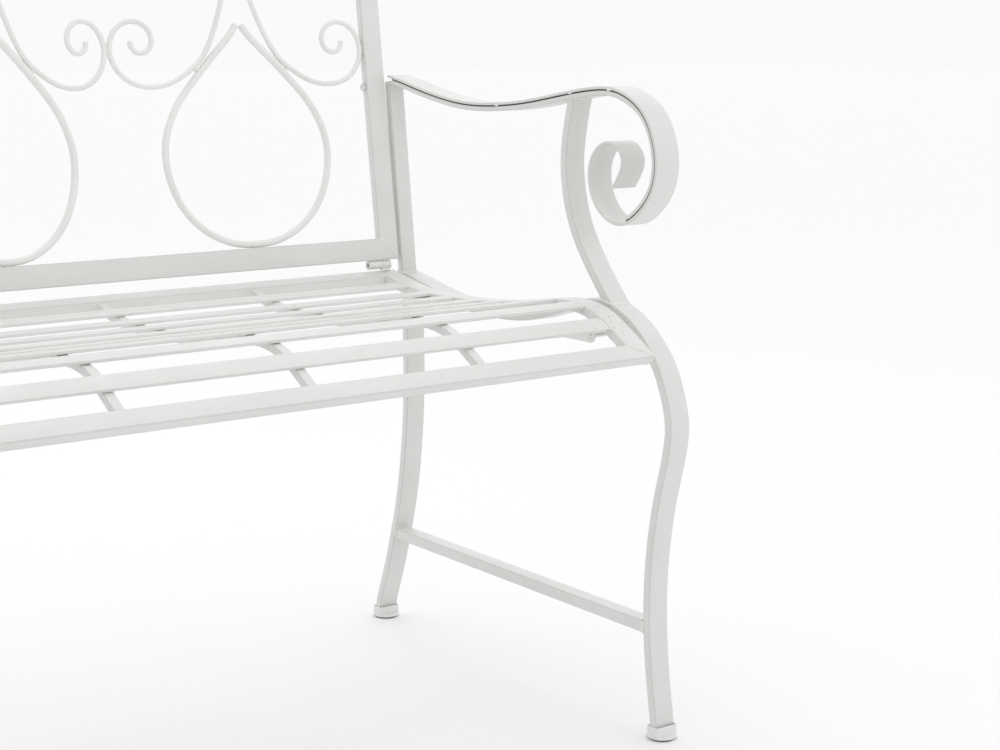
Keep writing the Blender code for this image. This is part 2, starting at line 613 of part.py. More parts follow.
def leaf_outline(underside, y):
    """Section of a knuckle and its leaf, from the hinge axis: barrel, strip, upturned edge."""
    tube_edge = SIDE_PLANE_X - FRAME_TUBE_WIDTH / 2 - HINGE_AXIS_X
    order = np.abs(underside[:, 0] - y) + (underside[:, 1] < 0.39) * 9
    rail_bottom = underside[int(np.argmin(order))][1] - HINGE_AXIS_Z - 6 * WELD_GAP
    sink = -LEAF_SINK
    start = math.asin(sink / HINGE_RADIUS)
    lowest = max((sink - LEAF_THICKNESS / 1.3) / HINGE_RADIUS, -1.0)
    turns = np.linspace(start, math.asin(lowest) + 2 * math.pi, 15)
    outline = [(HINGE_RADIUS * math.cos(t), HINGE_RADIUS * math.sin(t)) for t in turns]
    foot = outline[-1][1]
    if rail_bottom > sink + 0.001:
        inner = tube_edge + LEAF_LAP
        outer = inner + LEAF_THICKNESS
        return outline + [(outer, foot), (outer, rail_bottom), (inner, rail_bottom), (inner, sink)]
    edge = tube_edge - WELD_GAP
    return outline + [(edge, foot), (edge, sink)]


# ---------------------------------------------------------------- backrest
class Backrest:
    """Plane of the backrest: x along the bench, h up the plane from its bottom edge."""

    def __init__(self):
        rear = POST_FOOT
        slope = (POST_HEAD[0] - POST_FOOT[0]) / (POST_HEAD[1] - POST_FOOT[1])
        self.base_z = BACK_BASE_Z
        self.base_y = rear[0] + (self.base_z - rear[1]) * slope + WELD_GAP + DEPTH_SHIFT
        self.hinge_drop = BACK_HINGE_RADIUS + WELD_GAP
        lean_y, lean_z = math.sin(BACK_LEAN), math.cos(BACK_LEAN)
        half = BACK_TUBE_DEPTH / 2
        self.pivot = Vector((0, self.base_y - self.hinge_drop * lean_y + half * lean_z,
                             self.base_z - self.hinge_drop * lean_z - half * lean_y))

    def space(self, x0=0.0, sign=1):
        """Maps (distance from x0, height h) to the pivot's own axes, in the tube's middle."""
        return lambda p: Vector((sign * p[0] + x0, 0, p[1] + self.hinge_drop))


def make_backrest(profile):
    back = Backrest()
    pivot = empty("backrest_pivot", back.pivot, BACK_LEAN)
    hoop = make_back_hoop(back, pivot)
    make_back_rail(back, pivot)
    side_half = BACK_HALF_WIDTH - BACK_TUBE_WIDTH - WELD_GAP - SIDE_MOTIF_X
    centre_half = SIDE_MOTIF_X - side_half - WELD_GAP
    for name, x0, half in (("left", -SIDE_MOTIF_X, side_half), ("middle", 0.0, centre_half),
                           ("right", SIDE_MOTIF_X, side_half)):
        make_motif(back, pivot, name, x0, half)
    make_back_hinges(back, pivot, profile)
    make_bolts(back, pivot, hoop)
    return back


def hoop_centre_line():
    """Stile, shoulder bend and arch of the backrest, one half, from the bottom up."""
    stile_x = BACK_HALF_WIDTH - BACK_TUBE_WIDTH / 2
    peak = BACK_HEIGHT - BACK_TUBE_WIDTH / 2
    arch_centre = peak - ARCH_RADIUS
    bend_x = stile_x - SHOULDER_RADIUS
    bend_h = arch_centre + math.sqrt((ARCH_RADIUS - SHOULDER_RADIUS) ** 2 - bend_x ** 2)
    turn = math.atan2(bend_h - arch_centre, bend_x)
    foot = BACK_TUBE_WIDTH / 2 + WELD_GAP
    points = [(stile_x, h) for h in (foot, bend_h / 2)]
    for t in np.linspace(0.0, turn, 9):
        points.append((bend_x + SHOULDER_RADIUS * math.cos(t), bend_h + SHOULDER_RADIUS * math.sin(t)))
    for t in np.linspace(turn, math.pi / 2, 9)[1:]:
        points.append((ARCH_RADIUS * math.cos(t), arch_centre + ARCH_RADIUS * math.sin(t)))
    return points


def arch_underside(x):
    peak = BACK_HEIGHT - BACK_TUBE_WIDTH / 2
    inner = ARCH_RADIUS - BACK_TUBE_WIDTH / 2
    return peak - ARCH_RADIUS + math.sqrt(inner ** 2 - x ** 2)


def make_back_hoop(back, pivot):
    half = hoop_centre_line()
    path = np.array(half + [(-x, h) for x, h in half[-2::-1]])
    bm = sweep(path, back.space(), BACK_TUBE_DEPTH, BACK_TUBE_WIDTH, ALONG_Y, mitred=True)
    return add_object("back_hoop", bm, WHITE_PAINT, pivot)


def make_back_rail(back, pivot):
    outline = np.array([(-BACK_HALF_WIDTH, BACK_TUBE_WIDTH / 2), (BACK_HALF_WIDTH, BACK_TUBE_WIDTH / 2)])
    bm = sweep(outline, back.space(), BACK_TUBE_DEPTH, BACK_TUBE_WIDTH, ALONG_Y)
    for sign in (-1, 1):
        corner = Vector((sign * BACK_HALF_WIDTH, 0, back.hinge_drop))
        mitre(bm, corner, Vector((sign, 0, 1)).normalized())
    add_object("back_bottom_rail", bm, WHITE_PAINT, pivot)


def motif_height(h):
    """Height on a drawn motif curve, fitted between the bottom rail and the arch."""
    foot = BACK_TUBE_WIDTH + ONION_BAR / 2 + WELD_GAP
    head = BACK_HEIGHT - BACK_TUBE_WIDTH
    return foot + (h - DRAWN_FOOT) * (head - foot) / (DRAWN_TOP - DRAWN_FOOT)


def scroll_start():
    """The scroll's first distance from the mirror line, where it meets its twin."""
    return SCROLL_BAR / 2 + WELD_GAP / 2


def motif_stretch(half):
    """Sideways stretch of the drawn curves that fits a motif of this half width."""
    return (half - SCROLL_BAR / 2 - scroll_start()) / (spiral_reach() - SCROLL_LEAD[0][0])


def clear_of(path, other, distance):
    """The path, moved off another wherever it comes nearer than a distance."""
    moved = path.copy()
    for i, point in enumerate(path):
        away = point - other
        reach = np.hypot(away[:, 0], away[:, 1])
        nearest = int(np.argmin(reach))
        if reach[nearest] < distance:
            moved[i] = other[nearest] + away[nearest] / reach[nearest] * distance
    return moved


def loop_curve(half, count):
    """Onion-shaped loop about its mirror line, from tip to tip."""
    stretch = motif_stretch(half)
    right = [(x * stretch, motif_height(h)) for x, h in ONION_CURVE]
    right[-1] = (ONION_CURVE[-1][0], right[-1][1])
    return spline([(-x, h) for x, h in right[:0:-1]] + right, count)


def scroll_curve(half, top):
    """S-scroll beside a mirror line, half its motif's width, from its top to its inner end."""
    stretch = motif_stretch(half)
    turns = np.linspace(0.0, SPIRAL_TURN, 17)
    angles = SPIRAL_START + turns
    radii = spiral_radius(turns)
    spiral = list(zip(SPIRAL_CENTRE[0] + radii * np.cos(angles), SPIRAL_CENTRE[1] + radii * np.sin(angles)))
    first = SCROLL_LEAD[0][0]
    knots = [(scroll_start() + (x - first) * stretch, motif_height(h)) for x, h in SCROLL_LEAD + spiral]
    straight = [(knots[0][0], top), (knots[0][0], (top + knots[0][1]) / 2)]
    apart = (ONION_BAR + SCROLL_BAR) / 2 + 2 * WELD_GAP
    return clear_of(spline(straight + knots, 43), loop_curve(half, 400), apart)


def spiral_radius(turns):
    """Radius of the spiral, shrinking as it turns."""
    return SPIRAL_INNER + (SPIRAL_OUTER - SPIRAL_INNER) * (1 - turns / SPIRAL_TURN) ** SPIRAL_POWER


def spiral_reach():
    """Greatest distance of the spiral from the mirror line."""
    turns = np.linspace(0.0, math.pi, 91)
    return float(np.max(SPIRAL_CENTRE[0] + spiral_radius(turns) * np.cos(SPIRAL_START + turns)))


def make_motif(back, pivot, name, x0, half):
    """Onion-shaped loop with an S-scroll on either side."""
    loop = loop_curve(half, 57)
    bm = round_sweep(loop, back.space(x0), ONION_BAR, ALONG_Y, 6)
    add_object("back_loop_" + name, bm, WHITE_PAINT, pivot)
    for sign, tag in ((-1, "left"), (1, "right")):
        top = arch_underside(abs(x0) + 1.5 * SCROLL_BAR) - WELD_GAP
        path = scroll_curve(half, top)
        bm = round_sweep(path, back.space(x0, sign), SCROLL_BAR, ALONG_Y, 6)
        add_object("back_scroll_%s_%s" % (name, tag), bm, WHITE_PAINT, pivot)


def make_back_hinges(back, pivot, profile):
    """Barrel hinges along X, under the backrest's bottom corners."""
    split_x = BACK_HALF_WIDTH - BACK_TUBE_WIDTH + 0.0015
    seat_z = height_on(profile, back.pivot.y - DEPTH_SHIFT) + 3 * WELD_GAP
    drop = back.pivot.z - seat_z
    for sign, tag in ((-1, "left"), (1, "right")):
        own = lambda p: Vector((0, p[0], p[1]))
        world = lambda p: Vector((0, p[0] + back.pivot.y, p[1] + back.pivot.z))
        inner = sign * (split_x - KNUCKLE_GAP / 2 - BACK_KNUCKLE_MOVING)
        bm = prism(circle((0, 0), BACK_HINGE_RADIUS, 16), own, inner,
                   sign * (split_x - KNUCKLE_GAP / 2), ALONG_X)
        moving = add_object("back_hinge_upper_" + tag, bm, WHITE_PAINT, pivot)
        bm = prism(circle((0, 0), BACK_PIN_RADIUS + PIN_CLEARANCE, 16), own, inner - sign * 0.01,
                   sign * (split_x + 0.01), ALONG_X)
        combine(moving, add_object("back_bore_" + tag, bm, ZINC, pivot), "DIFFERENCE")
        outer = sign * (split_x + KNUCKLE_GAP / 2)
        foot_half = BACK_HINGE_RADIUS * 0.7
        turns = np.linspace(-math.pi / 4, math.pi * 5 / 4, 13)
        outline = [(BACK_HINGE_RADIUS * math.cos(t), BACK_HINGE_RADIUS * math.sin(t)) for t in turns]
        outline += [(-foot_half, -drop), (foot_half, -drop)]
        bm = prism(outline, world, outer, outer + sign * BACK_KNUCKLE_FIXED, ALONG_X)
        fixed = add_object("back_hinge_lower_" + tag, bm, WHITE_PAINT)
        bm = prism(circle((0, 0), BACK_PIN_RADIUS, 16), world, inner + sign * 0.004,
                   outer + sign * 0.004, ALONG_X)
        combine(fixed, add_object("back_pin_" + tag, bm, ZINC), "UNION")


def make_bolts(back, pivot, hoop):
    """Lock bolts through the stiles: a head on the inner face and a shank towards the post."""
    height = BOLT_HEIGHT + back.hinge_drop
    head_x = BACK_HALF_WIDTH - BACK_TUBE_WIDTH - WELD_GAP
    for sign, tag in ((-1, "left"), (1, "right")):
        own = lambda p: Vector((0, p[0], p[1] + height))
        bm = prism(circle((0, 0), BOLT_HEAD_RADIUS, 6), own,
                   sign * (head_x - BOLT_HEAD_THICKNESS), sign * head_x, ALONG_X)
        bolt = add_object("lock_bolt_" + tag, bm, ZINC, pivot)
        bm = prism(circle((0, 0), BOLT_RADIUS, 12), own, sign * (head_x - 0.001),
                   sign * (BACK_HALF_WIDTH + WELD_GAP), ALONG_X)
        combine(bolt, add_object("bolt_shank_" + tag, bm, ZINC, pivot), "UNION")
        bm = prism(circle((0, 0), BOLT_RADIUS + PIN_CLEARANCE, 12), own, sign * (head_x - 0.01),
                   sign * (BACK_HALF_WIDTH + 0.01), ALONG_X)
        combine(hoop, add_object("bolt_hole_" + tag, bm, ZINC, pivot), "DIFFERENCE")


# ---------------------------------------------------------------- build
def main():
    clear_scene()
    profile = seat_curve()
    make_seat(profile)
    for sign, tag in ((-1, "left"), (1, "right")):
        make_end_frame(sign, tag)
    make_backrest(profile)


main()
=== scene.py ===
"""White folding garden bench of welded flat tube: the visual model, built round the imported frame."""

import math
import random

import bmesh
import bpy
import numpy as np
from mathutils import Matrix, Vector


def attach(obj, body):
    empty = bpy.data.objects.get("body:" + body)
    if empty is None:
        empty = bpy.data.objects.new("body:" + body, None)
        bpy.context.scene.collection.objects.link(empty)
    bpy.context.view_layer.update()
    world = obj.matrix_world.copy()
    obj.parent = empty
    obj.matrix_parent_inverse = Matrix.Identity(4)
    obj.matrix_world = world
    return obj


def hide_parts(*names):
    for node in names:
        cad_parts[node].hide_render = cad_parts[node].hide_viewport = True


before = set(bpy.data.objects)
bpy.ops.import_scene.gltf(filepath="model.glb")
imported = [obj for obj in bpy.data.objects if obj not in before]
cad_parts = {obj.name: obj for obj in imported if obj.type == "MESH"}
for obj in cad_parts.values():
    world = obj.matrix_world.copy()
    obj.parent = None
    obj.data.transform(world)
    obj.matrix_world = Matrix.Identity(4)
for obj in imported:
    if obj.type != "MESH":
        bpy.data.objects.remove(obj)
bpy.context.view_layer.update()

# ---------------------------------------------------------------- sizes (metres)
SHIFT = -0.25645            # the row frame's Y of the end frame's own Y = 0
SIDE_X = 0.4905             # middle plane of an end frame
TUBE_WIDTH, TUBE_DEPTH = 0.025, 0.010
POST_WIDTH = 0.020          # rear post, flush with the leg on the inner side
TUBE_CORNER = 0.0016        # outer corner radius of the tubes
SEAT_HALF = 0.470
SEAT_TUBE, SEAT_DEPTH, RAIL_TUBE = 0.0245, 0.010, 0.021
SEAT_INNER = SEAT_HALF - SEAT_TUBE
SLATS, SLAT_WIDTH, SLAT_DEPTH = 9, 0.0205, 0.003
BEARERS, BEARER_WIDTH, BEARER_DEPTH = 4, 0.010, 0.0085
BACK_HALF, BACK_TUBE, BACK_DEPTH, BACK_HEIGHT = 0.4745, 0.025, 0.010, 0.467
LEAN = math.radians(7.5)
ARCH_RADIUS, SHOULDER_RADIUS = 1.60, 0.070
BAND_WIDTH, BAND_DEPTH, UNDER_WIDTH = 0.030, 0.003, 0.029
ARM_DEPTH, CURL_DEPTH, ARM_AIR = 0.005, 0.004, 0.0012
LOOP_BAR, SCROLL_BAR = 0.008, 0.006
MOTIF_X = 0.6112 * BACK_HALF     # mirror line of each outer backrest motif
STRETCHER_TOP, STRETCHER_HEIGHT, STRETCHER_WIDTH = 0.1227, 0.013, 0.018
FOOT_HEIGHT, FOOT_SOLE = 0.014, 0.003
FOOT_STEPS = 8              # facets in each rounded corner of a foot
SOLE_WIDTH, SOLE_CORNER, SOLE_TOP = 0.0260, 0.0129, 0.0019
BAND_CORNER, SLIT_CORNER, SLAT_CORNER, BAR_CORNER = 0.0009, 0.0002, 0.0007, 0.0013
SLIT_INSET, SLIT_DEPTH = 0.0008, 0.0010     # dark strip between an arm's band and its under-bar
ARM_POINTS = 305            # points along an arm band
ARM_LEAD = 4                # points of the band before its under-bar starts
ARM_TOP_POINTS = 130        # points before the band turns down into the scroll
BEFORE_CURL = 119           # points of the band that come before the under-bar can stop
ARM_SPOTS = (0.268, 0.142, 0.048)           # spots of weld along the arm, in the end frame's Y
SEAM = 0.0003               # air where two pieces are welded
BACK_BASE_Z = 0.453
SIDES = ((-1, "left"), (1, "right"))

SEAT_LINE = [
    (-0.0041, 0.4004), (0.0138, 0.4120), (0.0313, 0.4222), (0.0500, 0.4325), (0.0680, 0.4400),
    (0.0900, 0.4445), (0.1200, 0.4450), (0.1660, 0.4386), (0.2120, 0.4325), (0.2600, 0.4280),
    (0.3100, 0.4260), (0.3600, 0.4258), (0.4000, 0.4290), (0.4406, 0.4362), (0.4612, 0.4402),
]
LEG_LINE = [
    (0.4660, 0.4378), (0.4516, 0.4356), (0.4064, 0.4270), (0.3665, 0.4200), (0.3315, 0.4160),
    (0.2700, 0.4140), (0.2100, 0.4195), (0.1600, 0.4330), (0.1150, 0.4435), (0.0780, 0.4425),
    (0.0447, 0.4290), (0.0230, 0.4125), (0.0061, 0.3944), (-0.0060, 0.3740), (-0.0158, 0.3475),
    (-0.0192, 0.3240), (-0.0141, 0.2916), (-0.0045, 0.2550), (0.0037, 0.2140), (0.0085, 0.1700),
    (0.0092, 0.1300), (0.0065, 0.0860), (0.0010, 0.0450), (-0.0030, 0.0190), (-0.0036, 0.0030),
]
REAR_LEG_LINE = [
    (0.4460, 0.4400), (0.4460, 0.3600), (0.4462, 0.2900), (0.4550, 0.2050), (0.4690, 0.1400),
    (0.4925, 0.0660), (0.5070, 0.0280), (0.5110, 0.0140), (0.5116, 0.0030),
]
POST_FOOT, POST_HEAD = (0.4537, 0.4366), (0.4790, 0.6570)
ARM_LINE = [
    (0.4790, 0.6618), (0.4500, 0.6565), (0.4108, 0.6482), (0.3500, 0.6382), (0.2953, 0.6354),
    (0.2236, 0.6400), (0.1558, 0.6501), (0.0916, 0.6575), (0.0606, 0.6535), (0.0302, 0.6369),
    (0.0125, 0.6090), (0.0084, 0.5820), (0.0152, 0.5590), (0.0327, 0.5391), (0.0584, 0.5262),
    (0.0860, 0.5325), (0.1050, 0.5550), (0.1063, 0.5832), (0.0907, 0.6006), (0.0705, 0.6015),
    (0.0595, 0.5880), (0.0640, 0.5740), (0.0729, 0.5611),
]
CURL_END = (0.0500, 0.5285)
SUPPORT_LINE = [
    (0.1366, 0.6480), (0.1430, 0.6230), (0.1475, 0.5993), (0.1489, 0.5787), (0.1419, 0.5380),
    (0.1218, 0.4983), (0.0907, 0.4602), (0.0735, 0.4416),
]
LOOP_LINE = [
    (0.0000, 0.0290), (0.0275, 0.0318), (0.0545, 0.0434), (0.0780, 0.0640), (0.0940, 0.0930),
    (0.1002, 0.1250), (0.0969, 0.1523), (0.0817, 0.1840), (0.0583, 0.2120), (0.0350, 0.2364),
    (0.0119, 0.2597), (0.0033, 0.2715),
]
SCROLL_LINE = [
    (0.0032, 0.3900), (0.0036, 0.3650), (0.0075, 0.3350), (0.0180, 0.2980), (0.0300, 0.2660),
    (0.0455, 0.2378), (0.0590, 0.2250), (0.0740, 0.2150), (0.0880, 0.2085),
]
DRAWN_FOOT, DRAWN_TOP = 0.029, 0.442    # heights on the two curves above that meet rail and arch
SCROLL_START = SCROLL_BAR / 2 + SEAM / 2
SPIRAL_CENTRE, SPIRAL_OUTER, SPIRAL_INNER = (0.1205, 0.2520), 0.0485, 0.0093
SPIRAL_START, SPIRAL_TURN, SPIRAL_POWER = math.radians(-104), math.radians(475), 2.1

ALONG_X = Vector((1, 0, 0))
dice = random.Random(11)


# ---------------------------------------------------------------- curves
def spline(points, count):
    """Natural cubic spline through the points, as count points along it."""
    knots = np.array(points, float)
    steps = np.sqrt(np.hypot(*np.diff(knots, axis=0).T))
    place = np.concatenate(([0.0], np.cumsum(steps)))
    size = len(knots)
    matrix = np.eye(size)
    right = np.zeros((size, 2))
    for i in range(1, size - 1):
        before = place[i] - place[i - 1]
        after = place[i + 1] - place[i]
        matrix[i, i - 1:i + 2] = (before, 2 * (before + after), after)
        right[i] = 6 * ((knots[i + 1] - knots[i]) / after - (knots[i] - knots[i - 1]) / before)
    bend = np.linalg.solve(matrix, right)
    found = []
    for where in np.linspace(0.0, place[-1], count):
        i = min(int(np.searchsorted(place, where, side="right")) - 1, size - 2)
        span = place[i + 1] - place[i]
        left = (place[i + 1] - where) / span
        rest = 1.0 - left
        cubic = (left ** 3 - left) * bend[i] + (rest ** 3 - rest) * bend[i + 1]
        found.append(left * knots[i] + rest * knots[i + 1] + cubic * span ** 2 / 6)
    return np.array(found)


def normals_of(path):
    """Unit normals of a plane path, to the left of its direction."""
    ahead = np.gradient(path, axis=0)
    ahead /= np.linalg.norm(ahead, axis=1)[:, None]
    return np.stack((-ahead[:, 1], ahead[:, 0]), axis=1)


def offset(path, distance):
    """Path moved to its left by a distance, one value or one for each point."""
    return path + normals_of(path) * np.reshape(distance, (-1, 1))


def run_along(path):
    return np.concatenate(([0.0], np.cumsum(np.hypot(*np.diff(path, axis=0).T))))


# ---------------------------------------------------------------- mesh makers
def section(width, depth, corner, steps=4):
    """Outline of a bar: a rectangle with rounded corners, as (across, through) offsets."""
    outline = []
    for k in range(4):
        middle = ((width / 2 - corner) * (1 if k in (0, 3) else -1),
                  (depth / 2 - corner) * (1 if k in (0, 1) else -1))
        for s in range(steps + 1):
            turn = math.pi / 2 * (k + s / steps)
            outline.append((middle[0] + corner * math.cos(turn), middle[1] + corner * math.sin(turn)))
    return outline


def corner_weight(outline):
    """1 in the middle of an outline's rounded corners and 0 on its flats, point by point."""
    spots = np.array(outline)
    into, out = spots - np.roll(spots, 1, axis=0), np.roll(spots, -1, axis=0) - spots
    across = into[:, 0] * out[:, 1] - into[:, 1] * out[:, 0]
    turn = np.abs(np.arctan2(across, (into * out).sum(axis=1)))
    return np.where(np.ptp(turn) < 0.02, 0.0, turn / turn.max())


def skin(bm, rings, closed=False):
    """Faces between rings; open ends are capped."""
    count = len(rings[0])
    pairs = list(zip(rings, rings[1:]))
    if closed:
        pairs.append((rings[-1], rings[0]))
    for first, second in pairs:
        for k in range(count):
            nxt = (k + 1) % count
            bm.faces.new((first[k], first[nxt], second[nxt], second[k]))
    if not closed:
        bm.faces.new(rings[0])
        bm.faces.new(rings[-1])


def bar(path, to_space, outline, side, depth=None, mitred=False):
    """Bar along a plane path. depth scales the outline's through size point by point."""
    bm = bmesh.new()
    bm.verts.layers.float.new("edge")
    normals = normals_of(path)
    full = max(v for _, v in outline) * 2
    scale = np.ones(len(path)) if depth is None else np.asarray(depth) / full
    shears = np.zeros((len(path), 2))
    if mitred:
        for end, way in ((0, 1), (-1, -1)):
            shears[end] = np.array((normals[end][1], -normals[end][0])) * way
    rings = []
    for point, normal, size, shear in zip(path, normals, scale, shears):
        rings.append([bm.verts.new(to_space(point + (normal + shear) * (v * size)) + side * u)
                      for u, v in outline])
    mark_corners(bm, rings, outline)
    skin(bm, rings)
    return bm


def mark_corners(bm, rings, outline):
    """Store where painted shade darkens the paint: on the rounded corners."""
    layer = bm.verts.layers.float["edge"]
    for ring in rings:
        for vert, weight in zip(ring, corner_weight(outline)):
            vert[layer] = weight


def round_outline(diameter, sides=20):
    turns = [2 * math.pi * k / sides for k in range(sides)]
    return [(diameter / 2 * math.cos(t), diameter / 2 * math.sin(t)) for t in turns]


def extrude(outline, to_space, start, end, side, rows=2):
    """Plane outline pushed along a direction, in rows for a smooth shade."""
    bm = bmesh.new()
    bm.verts.layers.float.new("edge")
    rings = [[bm.verts.new(to_space(p) + side * d) for p in outline]
             for d in np.linspace(start, end, rows)]
    mark_corners(bm, rings, outline)
    skin(bm, rings)
    return bm


def cut(bm, point, normal):
    """Cut away what lies beyond a plane and close the cut; gives the cut's outline."""
    everything = list(bm.verts) + list(bm.edges) + list(bm.faces)
    made = bmesh.ops.bisect_plane(bm, geom=everything, dist=1e-7, plane_co=point, plane_no=normal,
                                  clear_outer=True)
    edges = [e for e in made["geom_cut"] if isinstance(e, bmesh.types.BMEdge)]
    if not edges:
        return []
    face = bmesh.ops.contextual_create(bm, geom=edges)["faces"]
    return [v.co.copy() for v in face[0].verts] if face else []


def keep(name, bm, body, paint, nodes=(), rounding=0.0):
    """Wrap a mesh as a piece of a body, in place of the CAD nodes given."""
    bmesh.ops.recalc_face_normals(bm, faces=bm.faces)
    mesh = bpy.data.meshes.new(name)
    bm.to_mesh(mesh)
    bm.free()
    mesh.shade_smooth()
    mesh.set_sharp_from_angle(angle=math.radians(38))
    item = bpy.data.objects.new(name, mesh)
    bpy.context.scene.collection.objects.link(item)
    mesh.materials.append(paint)
    if rounding:
        soften(item, rounding)
    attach(item, body)
    if nodes:
        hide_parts(*nodes)
    return item


def soften(item, width):
    """Rounded edges where faces meet at a sharp angle."""
    step = item.modifiers.new("soft edges", "BEVEL")
    step.width = width
    step.segments = 3
    step.limit_method = "ANGLE"
    step.angle_limit = math.radians(50)
    step.harden_normals = True


# ---------------------------------------------------------------- weld beads
RUN_SIDES = 8
DAB_SIDES = 10
DAB_RINGS = 7


def point_on(lengths, flow, where):
    """Point at a length along a run of 3-D points."""
    return Vector([float(np.interp(where, lengths, flow[:, i])) for i in range(3)])


def square_to(along):
    """Two unit directions square to a direction and to each other."""
    helper = Vector((0, 0, 1)) if abs(along.z) < 0.8 else Vector((1, 0, 0))
    u = along.cross(helper).normalized()
    return u, along.cross(u).normalized()


class Beads:
    """Weld beads of one body, gathered in one mesh."""

    def __init__(self):
        self.bm = bmesh.new()

    def run(self, points, radius, closed=False):
        """Rippled bead along 3-D points."""
        spots = [Vector(p) for p in points]
        if closed:
            spots.append(spots[0])
        lengths = [0.0]
        for first, second in zip(spots, spots[1:]):
            lengths.append(lengths[-1] + (second - first).length)
        total = lengths[-1]
        if total < 1e-6:
            return
        count = max(5, int(total / (radius * 0.45)))
        rings = []
        flow = np.array([tuple(s) for s in spots])
        phase = dice.random() * 6.0
        for k in range(count + (0 if closed else 1)):
            where = total * k / count
            place = point_on(lengths, flow, where)
            ahead = point_on(lengths, flow, min(where + radius, total))
            behind = point_on(lengths, flow, max(where - radius, 0.0))
            along = (ahead - behind).normalized()
            u, v = square_to(along)
            wave = 0.14 * math.sin(where / (radius * 0.9) + phase)
            ripple = 0.86 + wave + 0.07 * dice.uniform(-1, 1)
            taper = 1.0 if closed else min(1.0, math.sqrt(max(0.02, 1 - abs(2 * k / count - 1) ** 4)))
            size = radius * ripple * taper
            turns = [2 * math.pi * (j + 0.5) / RUN_SIDES for j in range(RUN_SIDES)]
            rings.append([self.bm.verts.new(place + u * (size * math.cos(t)) + v * (size * math.sin(t)))
                          for t in turns])
        skin(self.bm, rings, closed)

    def dab(self, place, radius, along=ALONG_X, length=None):
        """Single blob of weld, a little longer than it is wide."""
        half = (length or radius * 1.6) / 2
        place = Vector(place)
        along = Vector(along).normalized()
        rings = []
        u, v = square_to(along)
        lump = [1 + 0.12 * dice.uniform(-1, 1) for _ in range(DAB_SIDES)]
        for k in range(DAB_RINGS):
            turn = math.pi * (k + 0.5) / DAB_RINGS
            size = radius * math.sin(turn)
            middle = place - along * (half * math.cos(turn))
            ring = []
            for j in range(DAB_SIDES):
                t = 2 * math.pi * j / DAB_SIDES
                out = u * math.cos(t) + v * math.sin(t)
                ring.append(self.bm.verts.new(middle + out * (size * lump[j])))
            rings.append(ring)
        skin(self.bm, rings)

    def close(self, name, body):
        keep(name, self.bm, body, PAINT)


beads = {body: Beads() for body in ("seat", "backrest", "end_frame_left", "end_frame_right")}


# ---------------------------------------------------------------- materials
def shader_tree(name):
    made = bpy.data.materials.new(name)
    made.use_nodes = True
    nodes, links = made.node_tree.nodes, made.node_tree.links
    return made, nodes, links, nodes["Principled BSDF"]


def noise(nodes, links, space, scale, detail=3.0, roughness=0.55):
    made = nodes.new("ShaderNodeTexNoise")
    made.inputs["Scale"].default_value = scale
    made.inputs["Detail"].default_value = detail
    made.inputs["Roughness"].default_value = roughness
    links.new(space, made.inputs["Vector"])
    return made.outputs["Fac"]


def ramp(nodes, links, value, stops):
    made = nodes.new("ShaderNodeValToRGB")
    found = made.color_ramp.elements
    found[0].position, found[0].color = stops[0]
    found[1].position, found[1].color = stops[-1]
    for place, colour in stops[1:-1]:
        found.new(place).color = colour
    links.new(value, made.inputs["Fac"])
    return made.outputs["Color"]


def span(nodes, links, value, low, high, new_low, new_high):
    made = nodes.new("ShaderNodeMapRange")
    ends = (("From Min", low), ("From Max", high), ("To Min", new_low), ("To Max", new_high))
    for key, number in ends:
        made.inputs[key].default_value = number
    links.new(value, made.inputs["Value"])
    return made.outputs["Result"]


def mixed(nodes, links, factor, first, second):
    """Mix of two colours; each input is a fixed value or another node's output."""
    made = nodes.new("ShaderNodeMix")
    made.data_type = "RGBA"
    for socket, value in ((made.inputs[0], factor), (made.inputs[6], first), (made.inputs[7], second)):
        if isinstance(value, (float, tuple)):
            socket.default_value = value
        else:
            links.new(value, socket)
    return made.outputs[2]


def bumped(nodes, links, value, strength, distance, below=None):
    made = nodes.new("ShaderNodeBump")
    made.inputs["Strength"].default_value = strength
    made.inputs["Distance"].default_value = distance
    links.new(value, made.inputs["Height"])
    if below is not None:
        links.new(below, made.inputs["Normal"])
    return made.outputs["Normal"]


def splatter(nodes, links, space):
    """Mask of dark weld specks round the seat's four corners."""
    folded = nodes.new("ShaderNodeVectorMath")
    folded.operation = "ABSOLUTE"
    links.new(space, folded.inputs[0])
    reach = nodes.new("ShaderNodeVectorMath")
    reach.operation = "DISTANCE"
    links.new(folded.outputs["Vector"], reach.inputs[0])
    reach.inputs[1].default_value = (0.452, 0.205, 0.428)
    near = span(nodes, links, reach.outputs["Value"], 0.020, 0.045, 1.0, 0.0)
    fine = noise(nodes, links, space, 420.0, 2.0)
    dots = span(nodes, links, fine, 0.64, 0.70, 0.0, 0.85)
    both = nodes.new("ShaderNodeMath")
    both.operation = "MULTIPLY"
    links.new(near, both.inputs[0])
    links.new(dots, both.inputs[1])
    return both.outputs[0]


